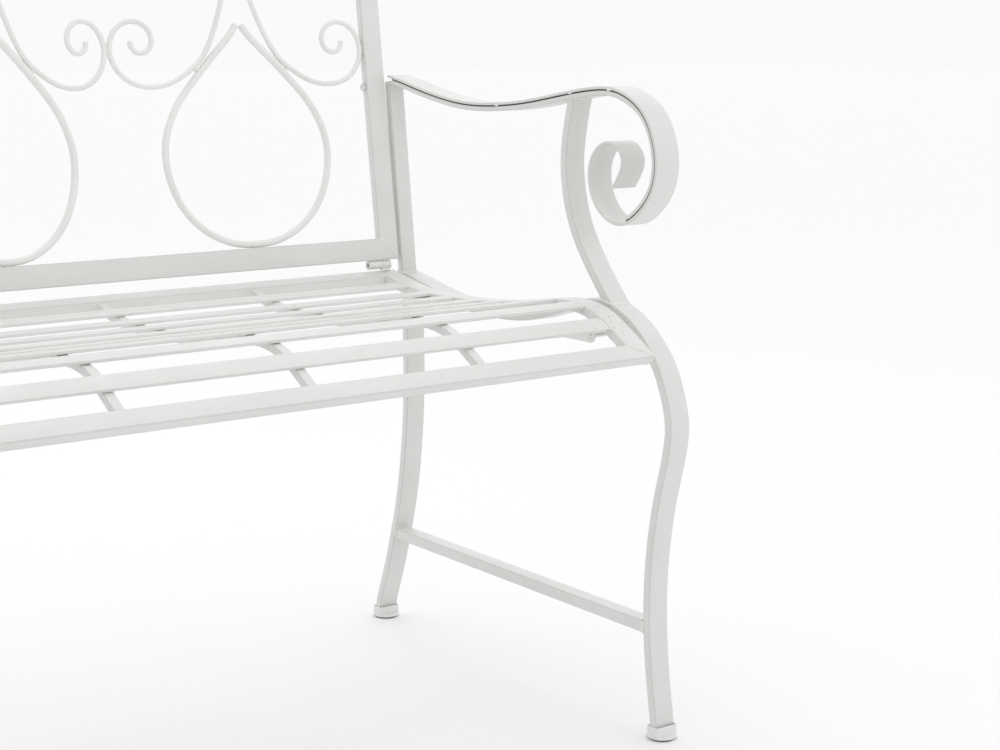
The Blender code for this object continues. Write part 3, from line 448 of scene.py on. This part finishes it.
def make_paint():
    """Satin white powder coat: orange peel, painted shade along the rounded edges, faint rub marks, chips
    and weld specks.
    """
    made, nodes, links, shader = shader_tree("satin_white_paint")
    space = nodes.new("ShaderNodeTexCoord").outputs["Object"]
    cloud = noise(nodes, links, space, 14.0, 4.0)
    tone = ramp(nodes, links, cloud, ((0.30, (0.742, 0.750, 0.728, 1)), (0.70, (0.800, 0.808, 0.786, 1))))
    # Painted shade: the rounded corners are darkened towards grey. This stands in for the shaded line
    # where a corner turns away from the light.
    blend_weight = nodes.new("ShaderNodeAttribute")
    blend_weight.attribute_name = "edge"
    tone = mixed(nodes, links, span(nodes, links, blend_weight.outputs["Fac"], 0.0, 1.0, 0.0, 0.55), tone,
                 (0.50, 0.505, 0.49, 1))
    patch = noise(nodes, links, space, 90.0, 5.0, 0.7)
    rub = span(nodes, links, patch, 0.60, 0.74, 0.0, 0.10)
    tone = mixed(nodes, links, rub, tone, (0.60, 0.62, 0.61, 1))
    speck = noise(nodes, links, space, 620.0, 2.0)
    chip = span(nodes, links, speck, 0.70, 0.76, 0.0, 0.28)
    tone = mixed(nodes, links, chip, tone, (0.50, 0.50, 0.48, 1))
    tone = mixed(nodes, links, splatter(nodes, links, space), tone, (0.20, 0.19, 0.17, 1))
    links.new(tone, shader.inputs["Base Color"])
    sheen = noise(nodes, links, space, 40.0, 3.0)
    links.new(span(nodes, links, sheen, 0.3, 0.7, 0.34, 0.50), shader.inputs["Roughness"])
    peel = noise(nodes, links, space, 750.0, 2.0)
    wave = noise(nodes, links, space, 120.0, 2.0)
    normal = bumped(nodes, links, wave, 0.35, 0.0006)
    normal = bumped(nodes, links, peel, 0.22, 0.0002, normal)
    links.new(normal, shader.inputs["Normal"])
    shader.inputs["Specular IOR Level"].default_value = 0.45
    shader.inputs["Coat Weight"].default_value = 0.12
    shader.inputs["Coat Roughness"].default_value = 0.30
    return made


def make_plastic():
    """Moulded white plastic with a fine matt grain."""
    made, nodes, links, shader = shader_tree("moulded_white_plastic")
    space = nodes.new("ShaderNodeTexCoord").outputs["Object"]
    cloud = noise(nodes, links, space, 60.0, 4.0)
    tone = ramp(nodes, links, cloud, ((0.3, (0.72, 0.73, 0.71, 1)), (0.7, (0.80, 0.81, 0.80, 1))))
    links.new(tone, shader.inputs["Base Color"])
    links.new(span(nodes, links, cloud, 0.3, 0.7, 0.42, 0.58), shader.inputs["Roughness"])
    grain = noise(nodes, links, space, 1400.0, 2.0)
    links.new(bumped(nodes, links, grain, 0.25, 0.0002), shader.inputs["Normal"])
    return made


def make_zinc():
    """Bright zinc plate with fine scratches and dull blotches."""
    made, nodes, links, shader = shader_tree("zinc_plate")
    space = nodes.new("ShaderNodeTexCoord").outputs["Object"]
    cloud = noise(nodes, links, space, 220.0, 4.0)
    tone = ramp(nodes, links, cloud, ((0.3, (0.56, 0.57, 0.58, 1)), (0.7, (0.74, 0.75, 0.76, 1))))
    links.new(tone, shader.inputs["Base Color"])
    links.new(span(nodes, links, cloud, 0.3, 0.7, 0.26, 0.48), shader.inputs["Roughness"])
    scratch = noise(nodes, links, space, 2400.0, 3.0)
    links.new(bumped(nodes, links, scratch, 0.2, 0.0001), shader.inputs["Normal"])
    shader.inputs["Metallic"].default_value = 1.0
    return made


def make_dark():
    """Near-black finish of painted shade: the shade inside the slits of the arms, and the soles of the
    feet, where dark rubber is blackened to stand for the contact shadow.
    """
    made, nodes, links, shader = shader_tree("painted_shade_dark")
    space = nodes.new("ShaderNodeTexCoord").outputs["Object"]
    cloud = noise(nodes, links, space, 300.0, 4.0)
    tone = ramp(nodes, links, cloud,
                ((0.3, (0.014, 0.013, 0.012, 1)), (0.7, (0.035, 0.032, 0.029, 1))))
    links.new(tone, shader.inputs["Base Color"])
    links.new(span(nodes, links, cloud, 0.3, 0.7, 0.65, 0.85), shader.inputs["Roughness"])
    grain = noise(nodes, links, space, 1600.0, 2.0)
    links.new(bumped(nodes, links, grain, 0.3, 0.0002), shader.inputs["Normal"])
    return made


PAINT, PLASTIC, ZINC, DARK = make_paint(), make_plastic(), make_zinc(), make_dark()


# ---------------------------------------------------------------- seat
def seat_space(x=0.0):
    return lambda p: Vector((x, p[0] + SHIFT, p[1]))


def slope_at(line, end):
    """Slope of the seat at its front (end 0) or rear (end -1)."""
    coarse = spline(SEAT_LINE, 33)
    first, second = (coarse[0], coarse[2]) if end == 0 else (coarse[-3], coarse[-1])
    return math.atan2(second[1] - first[1], second[0] - first[0])


def corner_plane(sign, line, end):
    """Plane of a mitred seat corner, with its normal away from the side rail."""
    edge_y = line[end][0] + SHIFT
    inward = 1 if end == 0 else -1
    outer = Vector((sign * SEAT_HALF, edge_y, 0))
    reach = inward * RAIL_TUBE * math.cos(slope_at(line, end))
    inner = Vector((sign * SEAT_INNER, edge_y + reach, 0))
    along = (inner - outer).normalized()
    normal = Vector((along.y, -along.x, 0))
    return outer, -normal if normal.x * sign > 0 else normal


def make_seat():
    line = spline(SEAT_LINE, 129)
    middle = offset(line, -SEAT_DEPTH / 2)
    weld = beads["seat"]
    for sign, tag in SIDES:
        bm = bar(middle, seat_space(sign * (SEAT_HALF - SEAT_TUBE / 2)),
                 section(SEAT_TUBE, SEAT_DEPTH, TUBE_CORNER), ALONG_X)
        for end in (0, -1):
            point, normal = corner_plane(sign, line, end)
            seam = cut(bm, point - normal * (SEAM / 2), normal)
            weld.run([s + normal * (SEAM / 2) for s in seam], 0.0006, closed=True)
        keep("seat_side_" + tag, bm, "seat", PAINT, ["seat_side_rail_" + tag])
    for name, end in (("front", 0), ("rear", -1)):
        make_cross_rail(name, line, end)
    make_slats(line)
    make_bearers(line)


def make_cross_rail(name, line, end):
    """Front or rear rail, in line with the end of the seat surface."""
    angle = slope_at(line, end)
    inward = 1 if end == 0 else -1
    along = np.array((math.cos(angle), math.sin(angle))) * inward
    down = np.array((math.sin(angle), -math.cos(angle)))
    centre = line[end] + along * RAIL_TUBE / 2 + down * SEAT_DEPTH / 2
    shape = section(RAIL_TUBE, SEAT_DEPTH, TUBE_CORNER)
    outline = [centre + along * u + down * v for u, v in shape]
    bm = extrude(outline, seat_space(), -SEAT_HALF, SEAT_HALF, ALONG_X, 9)
    for sign in (-1, 1):
        point, normal = corner_plane(sign, line, end)
        cut(bm, point + normal * (SEAM / 2), -normal)
    keep("seat_rail_" + name, bm, "seat", PAINT, ["seat_%s_rail" % name])


def point_along(line, distance):
    """Point and slope of a line at a distance from its start."""
    run = run_along(line)
    reach = SLAT_WIDTH / 2
    low, here, high = [np.array([np.interp(distance + d, run, line[:, i]) for i in (0, 1)])
                       for d in (-reach, 0, reach)]
    return here, math.atan2(high[1] - low[1], high[0] - low[0])


def slat_places(line):
    total = run_along(line)[-1]
    air = (total - 2 * RAIL_TUBE - SLATS * SLAT_WIDTH) / (SLATS + 1)
    return [RAIL_TUBE + air + SLAT_WIDTH / 2 + k * (SLAT_WIDTH + air) for k in range(SLATS)]


def make_slats(line):
    reach = SEAT_INNER - SEAM
    weld = beads["seat"]
    for number, place in enumerate(slat_places(line), start=1):
        here, angle = point_along(line, place)
        along = np.array((math.cos(angle), math.sin(angle)))
        down = np.array((math.sin(angle), -math.cos(angle)))
        centre = here + down * SLAT_DEPTH / 2
        shape = section(SLAT_WIDTH, SLAT_DEPTH, SLAT_CORNER, 3)
        outline = [centre + along * u + down * v for u, v in shape]
        bm = extrude(outline, seat_space(), -reach, reach, ALONG_X, 9)
        keep("seat_strip_%d" % number, bm, "seat", PAINT, ["seat_slat_%d" % number])
        lower = seat_space()(here + down * (SLAT_DEPTH + 0.0004))
        ahead = Vector((0, along[0], along[1]))
        for sign in (-1, 1):
            edge = lower + ALONG_X * (sign * (SEAT_INNER - 0.0006))
            weld.run([edge - ahead * 0.0075, edge + ahead * 0.0075], 0.0013)
            top = seat_space()(here) + ALONG_X * (sign * (SEAT_INNER - 0.0001))
            for u in (-0.0088, 0.0088):
                along_edge = ahead * (u + dice.uniform(-0.0006, 0.0006))
                weld.dab(top + along_edge - Vector((0, 0, 0.0006)), 0.0011)


def make_bearers(line):
    run = run_along(line)
    ends = (RAIL_TUBE + SEAM, run[-1] - RAIL_TUBE - SEAM)
    places = np.linspace(ends[0], ends[1], 97)
    top = np.stack([np.interp(places, run, line[:, i]) for i in (0, 1)], axis=1)
    middle = offset(top, -(SLAT_DEPTH + 2 * SEAM + BEARER_DEPTH / 2))
    reach = SEAT_INNER + SEAT_TUBE / 2
    spacing = 2 * reach / (BEARERS + 1)
    weld = beads["seat"]
    for number in range(BEARERS):
        x = -reach + spacing * (number + 1)
        bm = bar(middle, seat_space(x), section(BEARER_WIDTH, BEARER_DEPTH, BAR_CORNER), ALONG_X)
        for end, inward in ((0, -1), (-1, 1)):
            angle = slope_at(line, end)
            plane = Vector((0, math.cos(angle), math.sin(angle))) * inward
            inset = -RAIL_TUBE * inward
            face = Vector((0, line[end][0] + math.cos(angle) * inset + SHIFT,
                           line[end][1] + math.sin(angle) * inset))
            seam = cut(bm, face - plane * SEAM, plane)
            weld.run([s + plane * SEAM for s in seam], 0.0011, closed=True)
        keep("seat_cross_bar_%d" % (number + 1), bm, "seat", PAINT, ["seat_bearer_%d" % (number + 1)])
        for place in slat_places(line):
            here, angle = point_along(line, place)
            down = np.array((math.sin(angle), -math.cos(angle)))
            along = Vector((0, math.cos(angle), math.sin(angle)))
            under = seat_space(x)(here + down * (SLAT_DEPTH + SEAM))
            for sign in (-1, 1):
                spot = under + ALONG_X * (sign * BEARER_WIDTH / 2)
                weld.run([spot - along * 0.006, spot + along * 0.006], 0.0010)


# ---------------------------------------------------------------- end frames
def end_space(sign):
    return lambda p: Vector((sign * SIDE_X, p[0] + SHIFT, p[1]))


def inner_flush(to_space, sign, width):
    """The same mapping, for a narrower bar that is level with the legs' inner side."""
    inward = ALONG_X * (-sign * (TUBE_WIDTH - width) / 2)
    return lambda p: to_space(p) + inward


def cut_along(bm, to_space, curve, y, lift, way):
    """Cut a bar along the line of the bar it meets, near the depth y."""
    order = np.argsort(np.abs(curve[:, 0] - y) + (curve[:, 1] < 0.3) * 9)[:2]
    first, second = curve[min(order)], curve[max(order)]
    run = second - first
    normal = np.array((-run[1], run[0])) / np.linalg.norm(run)
    if normal[1] < 0:
        normal = -normal
    point = (first + second) / 2 + normal * lift
    plane = Vector((0, normal[0], normal[1]))
    return cut(bm, to_space(point), plane * way), plane * way


def arm_rail_path(band):
    """Bar under the arm band, to where it stops inside the scroll, and its thickness."""
    early = np.arange(len(band)) < BEFORE_CURL
    stop = int(np.argmin(np.hypot(*(band - CURL_END).T) + early))
    run = band[ARM_LEAD:stop + 1]
    blend_weight = np.maximum.accumulate(np.clip((0.045 - run[:, 0]) / 0.02, 0.0, 1.0))
    depth = ARM_DEPTH + (CURL_DEPTH - ARM_DEPTH) * blend_weight
    return offset(run, ARM_AIR + depth / 2), depth


def make_end_frame(sign, tag):
    body = "end_frame_" + tag
    weld = beads[body]
    to_space = end_space(sign)
    half = TUBE_DEPTH / 2
    tube = section(TUBE_WIDTH, TUBE_DEPTH, TUBE_CORNER)
    bottom = Vector((0, 0, -1))
    rail = spline(LEG_LINE, 225)
    rail_middle = offset(rail, half)
    underside = offset(rail, TUBE_DEPTH)
    bm = bar(rail_middle, to_space, tube, ALONG_X)
    cut(bm, to_space((0, FOOT_SOLE + SEAM)), bottom)
    keep("leg_front_" + tag, bm, body, PAINT, ["front_leg_" + tag])

    leg = offset(spline(REAR_LEG_LINE, 121), half)
    bm = bar(leg, to_space, tube, ALONG_X)
    cut(bm, to_space((0, FOOT_SOLE + SEAM)), bottom)
    seam, way = cut_along(bm, to_space, underside, leg[0][0], -SEAM, 1)
    weld.run([s + way * SEAM for s in seam], 0.0014, closed=True)
    keep("leg_rear_" + tag, bm, body, PAINT, ["rear_leg_" + tag])

    lean = np.array(POST_HEAD) - np.array(POST_FOOT)
    lean /= np.linalg.norm(lean)
    ends = [np.array(POST_FOOT) - lean * 0.02, np.array(POST_HEAD)]
    post = np.array([ends[0] + (ends[1] - ends[0]) * t for t in np.linspace(0, 1, 9)])
    bm = bar(offset(post, -half), inner_flush(to_space, sign, POST_WIDTH),
             section(POST_WIDTH, TUBE_DEPTH, TUBE_CORNER), ALONG_X)
    seam, way = cut_along(bm, to_space, rail, POST_FOOT[0] + half, SEAM, -1)
    weld.run([s + way * SEAM for s in seam], 0.0015, closed=True)
    band = spline(ARM_LINE, ARM_POINTS)
    arm_rail, depth = arm_rail_path(band)
    under_arm = offset(arm_rail, depth / 2)
    seam, way = cut_along(bm, to_space, under_arm, POST_HEAD[0] + half, -SEAM, 1)
    weld.run([s + way * SEAM for s in seam], 0.0012, closed=True)
    keep("post_rear_" + tag, bm, body, PAINT, ["rear_post_" + tag])

    bm = bar(offset(spline(SUPPORT_LINE, 97), half), to_space, tube, ALONG_X)
    seam, way = cut_along(bm, to_space, rail, SUPPORT_LINE[-1][0] + half, SEAM, -1)
    weld.run([s + way * SEAM for s in seam], 0.0016, closed=True)
    seam, way = cut_along(bm, to_space, under_arm, SUPPORT_LINE[0][0] + half, -SEAM, 1)
    weld.run([s + way * SEAM for s in seam], 0.0012, closed=True)
    keep("arm_strut_" + tag, bm, body, PAINT, ["arm_support_" + tag])

    strip = section(BAND_WIDTH, BAND_DEPTH, BAND_CORNER)
    bm = bar(offset(band, -BAND_DEPTH / 2), to_space, strip, ALONG_X)
    keep("arm_strip_" + tag, bm, body, PAINT, ["arm_band_" + tag], 0.0005)
    strip = section(UNDER_WIDTH, ARM_DEPTH, BAND_CORNER)
    bm = bar(arm_rail, to_space, strip, ALONG_X, depth)
    keep("arm_under_strip_" + tag, bm, body, PAINT, ["arm_rail_" + tag], 0.0005)
    # Painted shade: a near-black strip inside the slit between the band and its under-bar, where the gap
    # lies in shade.
    slit = section(UNDER_WIDTH - SLIT_INSET, SLIT_DEPTH, SLIT_CORNER)
    middle = offset(band[ARM_LEAD:], ARM_AIR / 2)[:len(arm_rail)]
    bm = bar(middle, to_space, slit, ALONG_X)
    keep("arm_slit_" + tag, bm, body, DARK)
    # Spots of weld between the two strips of the arm.
    for y in ARM_SPOTS:
        place = int(np.argmin(np.abs(band[:ARM_TOP_POINTS, 0] - y)))
        for edge in (-1, 1):
            spot = to_space(band[place]) + ALONG_X * (edge * (UNDER_WIDTH / 2 + 0.0001))
            weld.dab(spot, 0.0013, Vector((0, 1, 0)), 0.006)
    spot = to_space(arm_rail[-1])
    for edge in (-1, 1):
        weld.dab(spot + ALONG_X * (edge * UNDER_WIDTH / 2), 0.0014, Vector((0, 1, 0.2)), 0.005)

    make_stretcher(inner_flush(to_space, sign, STRETCHER_WIDTH), tag, body, rail, leg)
    for name, path in (("front", rail_middle), ("rear", leg)):
        make_foot(name, tag, to_space, path[-1][0], body)


def make_stretcher(to_space, tag, body, rail, leg):
    """Level bar between the two legs, with a bead round each end."""
    middle_z = STRETCHER_TOP - STRETCHER_HEIGHT / 2
    reach = [path[int(np.argmin(np.abs(path[:, 1] - middle_z)))][0] for path in (rail, leg)]
    ends = (reach[0] + TUBE_DEPTH + SEAM, reach[1] - TUBE_DEPTH / 2 - SEAM - 0.0030)
    path = np.array([(y, middle_z) for y in np.linspace(ends[0], ends[1], 9)])
    outline = section(STRETCHER_WIDTH, STRETCHER_HEIGHT, BAR_CORNER)
    bm = bar(path, to_space, outline, ALONG_X)
    keep("cross_tie_" + tag, bm, body, PAINT, ["stretcher_" + tag])
    for y, out in ((ends[0], -0.0002), (ends[1], 0.0012)):
        ring = [to_space((y + out, middle_z + v)) + ALONG_X * u for u, v in outline]
        beads[body].run(ring, 0.0016, closed=True)


def make_foot(name, tag, to_space, y, body):
    """Push-on plastic cap: a block with soft corners on a round flange, over a dark sole that also paints
    the contact shadow under the foot.
    """
    bm = bmesh.new()
    levels = (  # height, length, depth, corner radius
        (0.0017, 0.0288, 0.0288, 0.0143), (0.0018, 0.0302, 0.0302, 0.0150),
        (0.0021, 0.0309, 0.0309, 0.0154), (0.0034, 0.0309, 0.0309, 0.0154),
        (0.0038, 0.0302, 0.0302, 0.0150), (0.0041, 0.0290, 0.0210, 0.0070),
        (0.0045, 0.0284, 0.0180, 0.0034), (0.0105, 0.0282, 0.0178, 0.0032),
        (0.0128, 0.0279, 0.0176, 0.0031), (0.0137, 0.0272, 0.0170, 0.0028),
        (FOOT_HEIGHT, 0.0266, 0.0164, 0.0024),
    )
    rings = []
    for z, length, depth, corner in levels:
        outline = section(length, depth, corner, FOOT_STEPS)
        rings.append([bm.verts.new(to_space((y + v, z)) + ALONG_X * u) for u, v in outline])
    inner = section(TUBE_WIDTH + 0.0008, TUBE_DEPTH + 0.0052, 0.0016, FOOT_STEPS)
    for z in (FOOT_HEIGHT, FOOT_SOLE):
        rings.append([bm.verts.new(to_space((y + v, z)) + ALONG_X * u) for u, v in inner])
    skin(bm, rings)
    keep("cap_%s_%s" % (name, tag), bm, body, PLASTIC, ["%s_foot_%s" % (name, tag)])
    # Painted shadow: the near-black sole is the foot's dark rubber underside, blackened to stand for the
    # contact shadow beneath it.
    outline = section(SOLE_WIDTH, SOLE_WIDTH, SOLE_CORNER, FOOT_STEPS)
    bm = extrude(outline, lambda p: to_space((y + p[1], 0)) + ALONG_X * p[0],
                 0.0, SOLE_TOP, Vector((0, 0, 1)))
    keep("sole_%s_%s" % (name, tag), bm, body, DARK)


# ---------------------------------------------------------------- backrest
slope = (POST_HEAD[0] - POST_FOOT[0]) / (POST_HEAD[1] - POST_FOOT[1])
base_y = POST_FOOT[0] + (BACK_BASE_Z - POST_FOOT[1]) * slope + SEAM + SHIFT
UP = Vector((0, math.sin(LEAN), math.cos(LEAN)))
BACKWARD = Vector((0, math.cos(LEAN), -math.sin(LEAN)))
BACK_FOOT = Vector((0, base_y, BACK_BASE_Z)) + BACKWARD * (BACK_DEPTH / 2)


def back_space(x0=0.0, sign=1):
    return lambda p: BACK_FOOT + ALONG_X * (sign * p[0] + x0) + UP * p[1]


def hoop_half():
    """Stile, shoulder bend and arch of the backrest's centre line, one half."""
    stile_x = BACK_HALF - BACK_TUBE / 2
    centre = BACK_HEIGHT - BACK_TUBE / 2 - ARCH_RADIUS
    bend_x = stile_x - SHOULDER_RADIUS
    bend_h = centre + math.sqrt((ARCH_RADIUS - SHOULDER_RADIUS) ** 2 - bend_x ** 2)
    turn = math.atan2(bend_h - centre, bend_x)
    foot = BACK_TUBE / 2 + SEAM
    points = [(stile_x, h) for h in np.linspace(foot, bend_h, 9)[:-1]]
    for t in np.linspace(0.0, turn, 25):
        points.append((bend_x + SHOULDER_RADIUS * math.cos(t), bend_h + SHOULDER_RADIUS * math.sin(t)))
    for t in np.linspace(turn, math.pi / 2, 33)[1:]:
        points.append((ARCH_RADIUS * math.cos(t), centre + ARCH_RADIUS * math.sin(t)))
    return points


def arch_underside(x):
    inner = ARCH_RADIUS - BACK_TUBE / 2
    return BACK_HEIGHT - BACK_TUBE / 2 - ARCH_RADIUS + math.sqrt(inner ** 2 - x ** 2)


def spiral_radius(turns):
    return SPIRAL_INNER + (SPIRAL_OUTER - SPIRAL_INNER) * (1 - turns / SPIRAL_TURN) ** SPIRAL_POWER


def spiral_reach():
    turns = np.linspace(0.0, math.pi, 91)
    return float(np.max(SPIRAL_CENTRE[0] + spiral_radius(turns) * np.cos(SPIRAL_START + turns)))


def motif_height(h):
    """Height on a drawn motif curve, fitted between the bottom rail and the arch."""
    foot = BACK_TUBE + LOOP_BAR / 2 + SEAM
    head = BACK_HEIGHT - BACK_TUBE
    return foot + (h - DRAWN_FOOT) * (head - foot) / (DRAWN_TOP - DRAWN_FOOT)


def motif_stretch(half):
    """Sideways stretch of the drawn curves that fits a motif of this half width."""
    return (half - SCROLL_BAR / 2 - SCROLL_START) / (spiral_reach() - SCROLL_LINE[0][0])


def clear_of(path, other, distance):
    """The path, moved off another wherever it comes nearer than a distance."""
    moved = path.copy()
    for i, point in enumerate(path):
        away = point - other
        reach = np.hypot(away[:, 0], away[:, 1])
        nearest = int(np.argmin(reach))
        if reach[nearest] < distance:
            moved[i] = other[nearest] + away[nearest] / reach[nearest] * distance
    return moved


def loop_path(half, count):
    """Onion-shaped loop about its mirror line, from tip to tip."""
    stretch = motif_stretch(half)
    right = [(x * stretch, motif_height(h)) for x, h in LOOP_LINE]
    right[-1] = (LOOP_LINE[-1][0], right[-1][1])
    return spline([(-x, h) for x, h in right[:0:-1]] + right, count)


def scroll_path(half, top):
    """S-scroll beside a mirror line, from the arch to its inner end."""
    stretch = motif_stretch(half)
    turns = np.linspace(0.0, SPIRAL_TURN, 17)
    angles, radii = SPIRAL_START + turns, spiral_radius(turns)
    spiral = list(zip(SPIRAL_CENTRE[0] + radii * np.cos(angles),
                      SPIRAL_CENTRE[1] + radii * np.sin(angles)))
    first = SCROLL_LINE[0][0]
    knots = [(SCROLL_START + (x - first) * stretch, motif_height(h)) for x, h in SCROLL_LINE + spiral]
    straight = [(knots[0][0], top), (knots[0][0], (top + knots[0][1]) / 2)]
    apart = (LOOP_BAR + SCROLL_BAR) / 2 + 2 * SEAM
    return clear_of(spline(straight + knots, 211), loop_path(half, 800), apart)


def make_backrest():
    weld = beads["backrest"]
    half = hoop_half()
    path = np.array(half + [(-x, h) for x, h in half[-2::-1]])
    outline = [(v, u) for u, v in section(BACK_TUBE, BACK_DEPTH, TUBE_CORNER)]
    bm = bar(path, back_space(), outline, BACKWARD, mitred=True)
    keep("back_frame", bm, "backrest", PAINT, ["back_hoop"])
    rail = np.array([(x, BACK_TUBE / 2) for x in np.linspace(-BACK_HALF, BACK_HALF, 17)])
    bm = bar(rail, back_space(), outline, BACKWARD)
    for sign in (-1, 1):
        normal = (ALONG_X * sign + UP).normalized()
        seam = cut(bm, BACK_FOOT + ALONG_X * (sign * BACK_HALF), normal)
        weld.run([s + normal * (SEAM / 2) for s in seam], 0.0006, closed=True)
    keep("back_low_rail", bm, "backrest", PAINT, ["back_bottom_rail"])
    side_half = BACK_HALF - BACK_TUBE - SEAM - MOTIF_X
    middle_half = MOTIF_X - side_half - SEAM
    for name, x0, reach in (("left", -MOTIF_X, side_half), ("middle", 0.0, middle_half),
                            ("right", MOTIF_X, side_half)):
        make_motif(name, x0, reach)


def make_motif(name, x0, half):
    """Onion-shaped loop with an S-scroll on either side, and their welds."""
    weld = beads["backrest"]
    stretch = motif_stretch(half)
    path = loop_path(half, 257)
    bm = bar(path, back_space(x0), round_outline(LOOP_BAR), BACKWARD)
    keep("back_wire_loop_" + name, bm, "backrest", PAINT, ["back_loop_" + name], 0.0008)
    space = back_space(x0)
    weld.run([space((-0.006, BACK_TUBE + 0.0006)), space((0.006, BACK_TUBE + 0.0006))], 0.0022)
    for sign, tag in SIDES:
        top = arch_underside(abs(x0) + 1.5 * SCROLL_BAR) - SEAM
        path = scroll_path(half, top)
        bm = bar(path, back_space(x0, sign), round_outline(SCROLL_BAR), BACKWARD)
        keep("back_wire_scroll_%s_%s" % (name, tag), bm, "backrest", PAINT,
             ["back_scroll_%s_%s" % (name, tag)], 0.0009)
        space = back_space(x0, sign)
        weld.dab(space((path[0][0], top - 0.0005)), 0.0036, ALONG_X, 0.0080)
        far = path[int(np.argmax(path[:, 0]))]
        weld.dab(space((half + 0.0002, far[1])), 0.0016, UP, 0.009)
        near = int(np.argmin(np.abs(path[:, 0] - 0.058 * stretch) + (path[:, 1] > 0.26) * 9))
        weld.dab(space((path[near][0], path[near][1] - 0.0034)), 0.0018, ALONG_X, 0.010)


# ---------------------------------------------------------------- build
make_seat()
for side_sign, side_tag in SIDES:
    make_end_frame(side_sign, side_tag)
make_backrest()
for body_name, gathered in beads.items():
    gathered.close("welds_" + body_name, body_name)


def dress_kept_nodes():
    """Finish for the CAD pieces that stay: hinge knuckles, their leaves and the lock bolts."""
    for name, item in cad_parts.items():
        if item.hide_render:
            continue
        item.data.materials.clear()
        item.data.materials.append(ZINC if name.startswith("lock_bolt") else PAINT)
        join = item.modifiers.new("join", "WELD")
        join.merge_threshold = 1e-5
        soften(item, 0.0004)


dress_kept_nodes()


# ---------------------------------------------------------------- floor, light, camera
FLOOR_REACH = 30.0
FILL_PLACE, FILL_AIM = (0.3, -3.0, 1.4), (0.3, 0.1, 0.66)
WORLD_BASE = 0.92           # the surround's strength, which the slopes below add to
WORLD_SLOPES = (("X", 0.16), ("Y", 0.12), ("Z", 0.22))
BACKDROP = 0.955            # strength where the camera sees the surround


def make_stage():
    """Level, matt, nearly white floor."""
    bm = bmesh.new()
    corners = [bm.verts.new((x * FLOOR_REACH, y * FLOOR_REACH, 0.0))
               for x, y in ((-1, -1), (1, -1), (1, 1), (-1, 1))]
    bm.faces.new(corners)
    mesh = bpy.data.meshes.new("floor")
    bm.to_mesh(mesh)
    bm.free()
    floor = bpy.data.objects.new("floor", mesh)
    bpy.context.scene.collection.objects.link(floor)
    made, nodes, links, shader = shader_tree("floor_white")
    shader.inputs["Base Color"].default_value = (0.90, 0.90, 0.90, 1)
    shader.inputs["Roughness"].default_value = 0.9
    shader.inputs["Specular IOR Level"].default_value = 0.1
    mesh.materials.append(made)


def make_world():
    """Pale surround, brighter above, behind and to the right; even where the camera sees it."""
    world = bpy.data.worlds.new("studio")
    bpy.context.scene.world = world
    world.use_nodes = True
    nodes, links = world.node_tree.nodes, world.node_tree.links
    back = nodes["Background"]
    way = nodes.new("ShaderNodeTexCoord").outputs["Generated"]
    parts = nodes.new("ShaderNodeSeparateXYZ")
    links.new(way, parts.inputs["Vector"])
    total = None
    for key, weight in WORLD_SLOPES:
        scaled = nodes.new("ShaderNodeMath")
        scaled.operation = "MULTIPLY_ADD"
        links.new(parts.outputs[key], scaled.inputs[0])
        scaled.inputs[1].default_value = weight
        if total is None:
            scaled.inputs[2].default_value = WORLD_BASE
        else:
            links.new(total, scaled.inputs[2])
        total = scaled.outputs[0]
    seen = nodes.new("ShaderNodeLightPath").outputs["Is Camera Ray"]
    shown = nodes.new("ShaderNodeMix")
    links.new(seen, shown.inputs[0])
    links.new(total, shown.inputs[2])
    shown.inputs[3].default_value = BACKDROP
    links.new(shown.outputs[0], back.inputs["Strength"])
    back.inputs["Color"].default_value = (1.0, 1.0, 1.0, 1)


def place_light(name, data, place, aim):
    item = bpy.data.objects.new(name, data)
    bpy.context.scene.collection.objects.link(item)
    item.location = place
    item.rotation_euler = (Vector(aim) - Vector(place)).to_track_quat("-Z", "Y").to_euler()


def make_overhead():
    """Weak round panel above and behind the bench."""
    data = bpy.data.lights.new("overhead", "AREA")
    data.shape = "DISK"
    data.size = 1.6
    data.energy = 5.0
    place_light("overhead", data, (0.4, 0.9, 3.0), (0.0, 0.0, 0.4))


def make_fill():
    """Soft round light from the front, aimed above the legs at the arms and the backrest."""
    data = bpy.data.lights.new("front_fill", "SPOT")
    data.energy = 42.0
    data.spot_size = math.radians(26)
    data.spot_blend = 1.0
    data.shadow_soft_size = 0.5
    place_light("front_fill", data, FILL_PLACE, FILL_AIM)


def make_camera():
    data = bpy.data.cameras.new("camera")
    data.lens = 68.1
    data.sensor_width = 36.0
    item = bpy.data.objects.new("camera", data)
    bpy.context.scene.collection.objects.link(item)
    item.location = (-0.7465, -1.3822 + SHIFT, 0.714)
    yaw, pitch = math.radians(36.66), math.radians(10.283)
    item.rotation_euler = (math.pi / 2 - pitch, 0.0, -yaw)
    bpy.context.scene.camera = item


bpy.context.scene.view_settings.view_transform = "Standard"
make_stage()
make_world()
make_overhead()
make_fill()
make_camera()
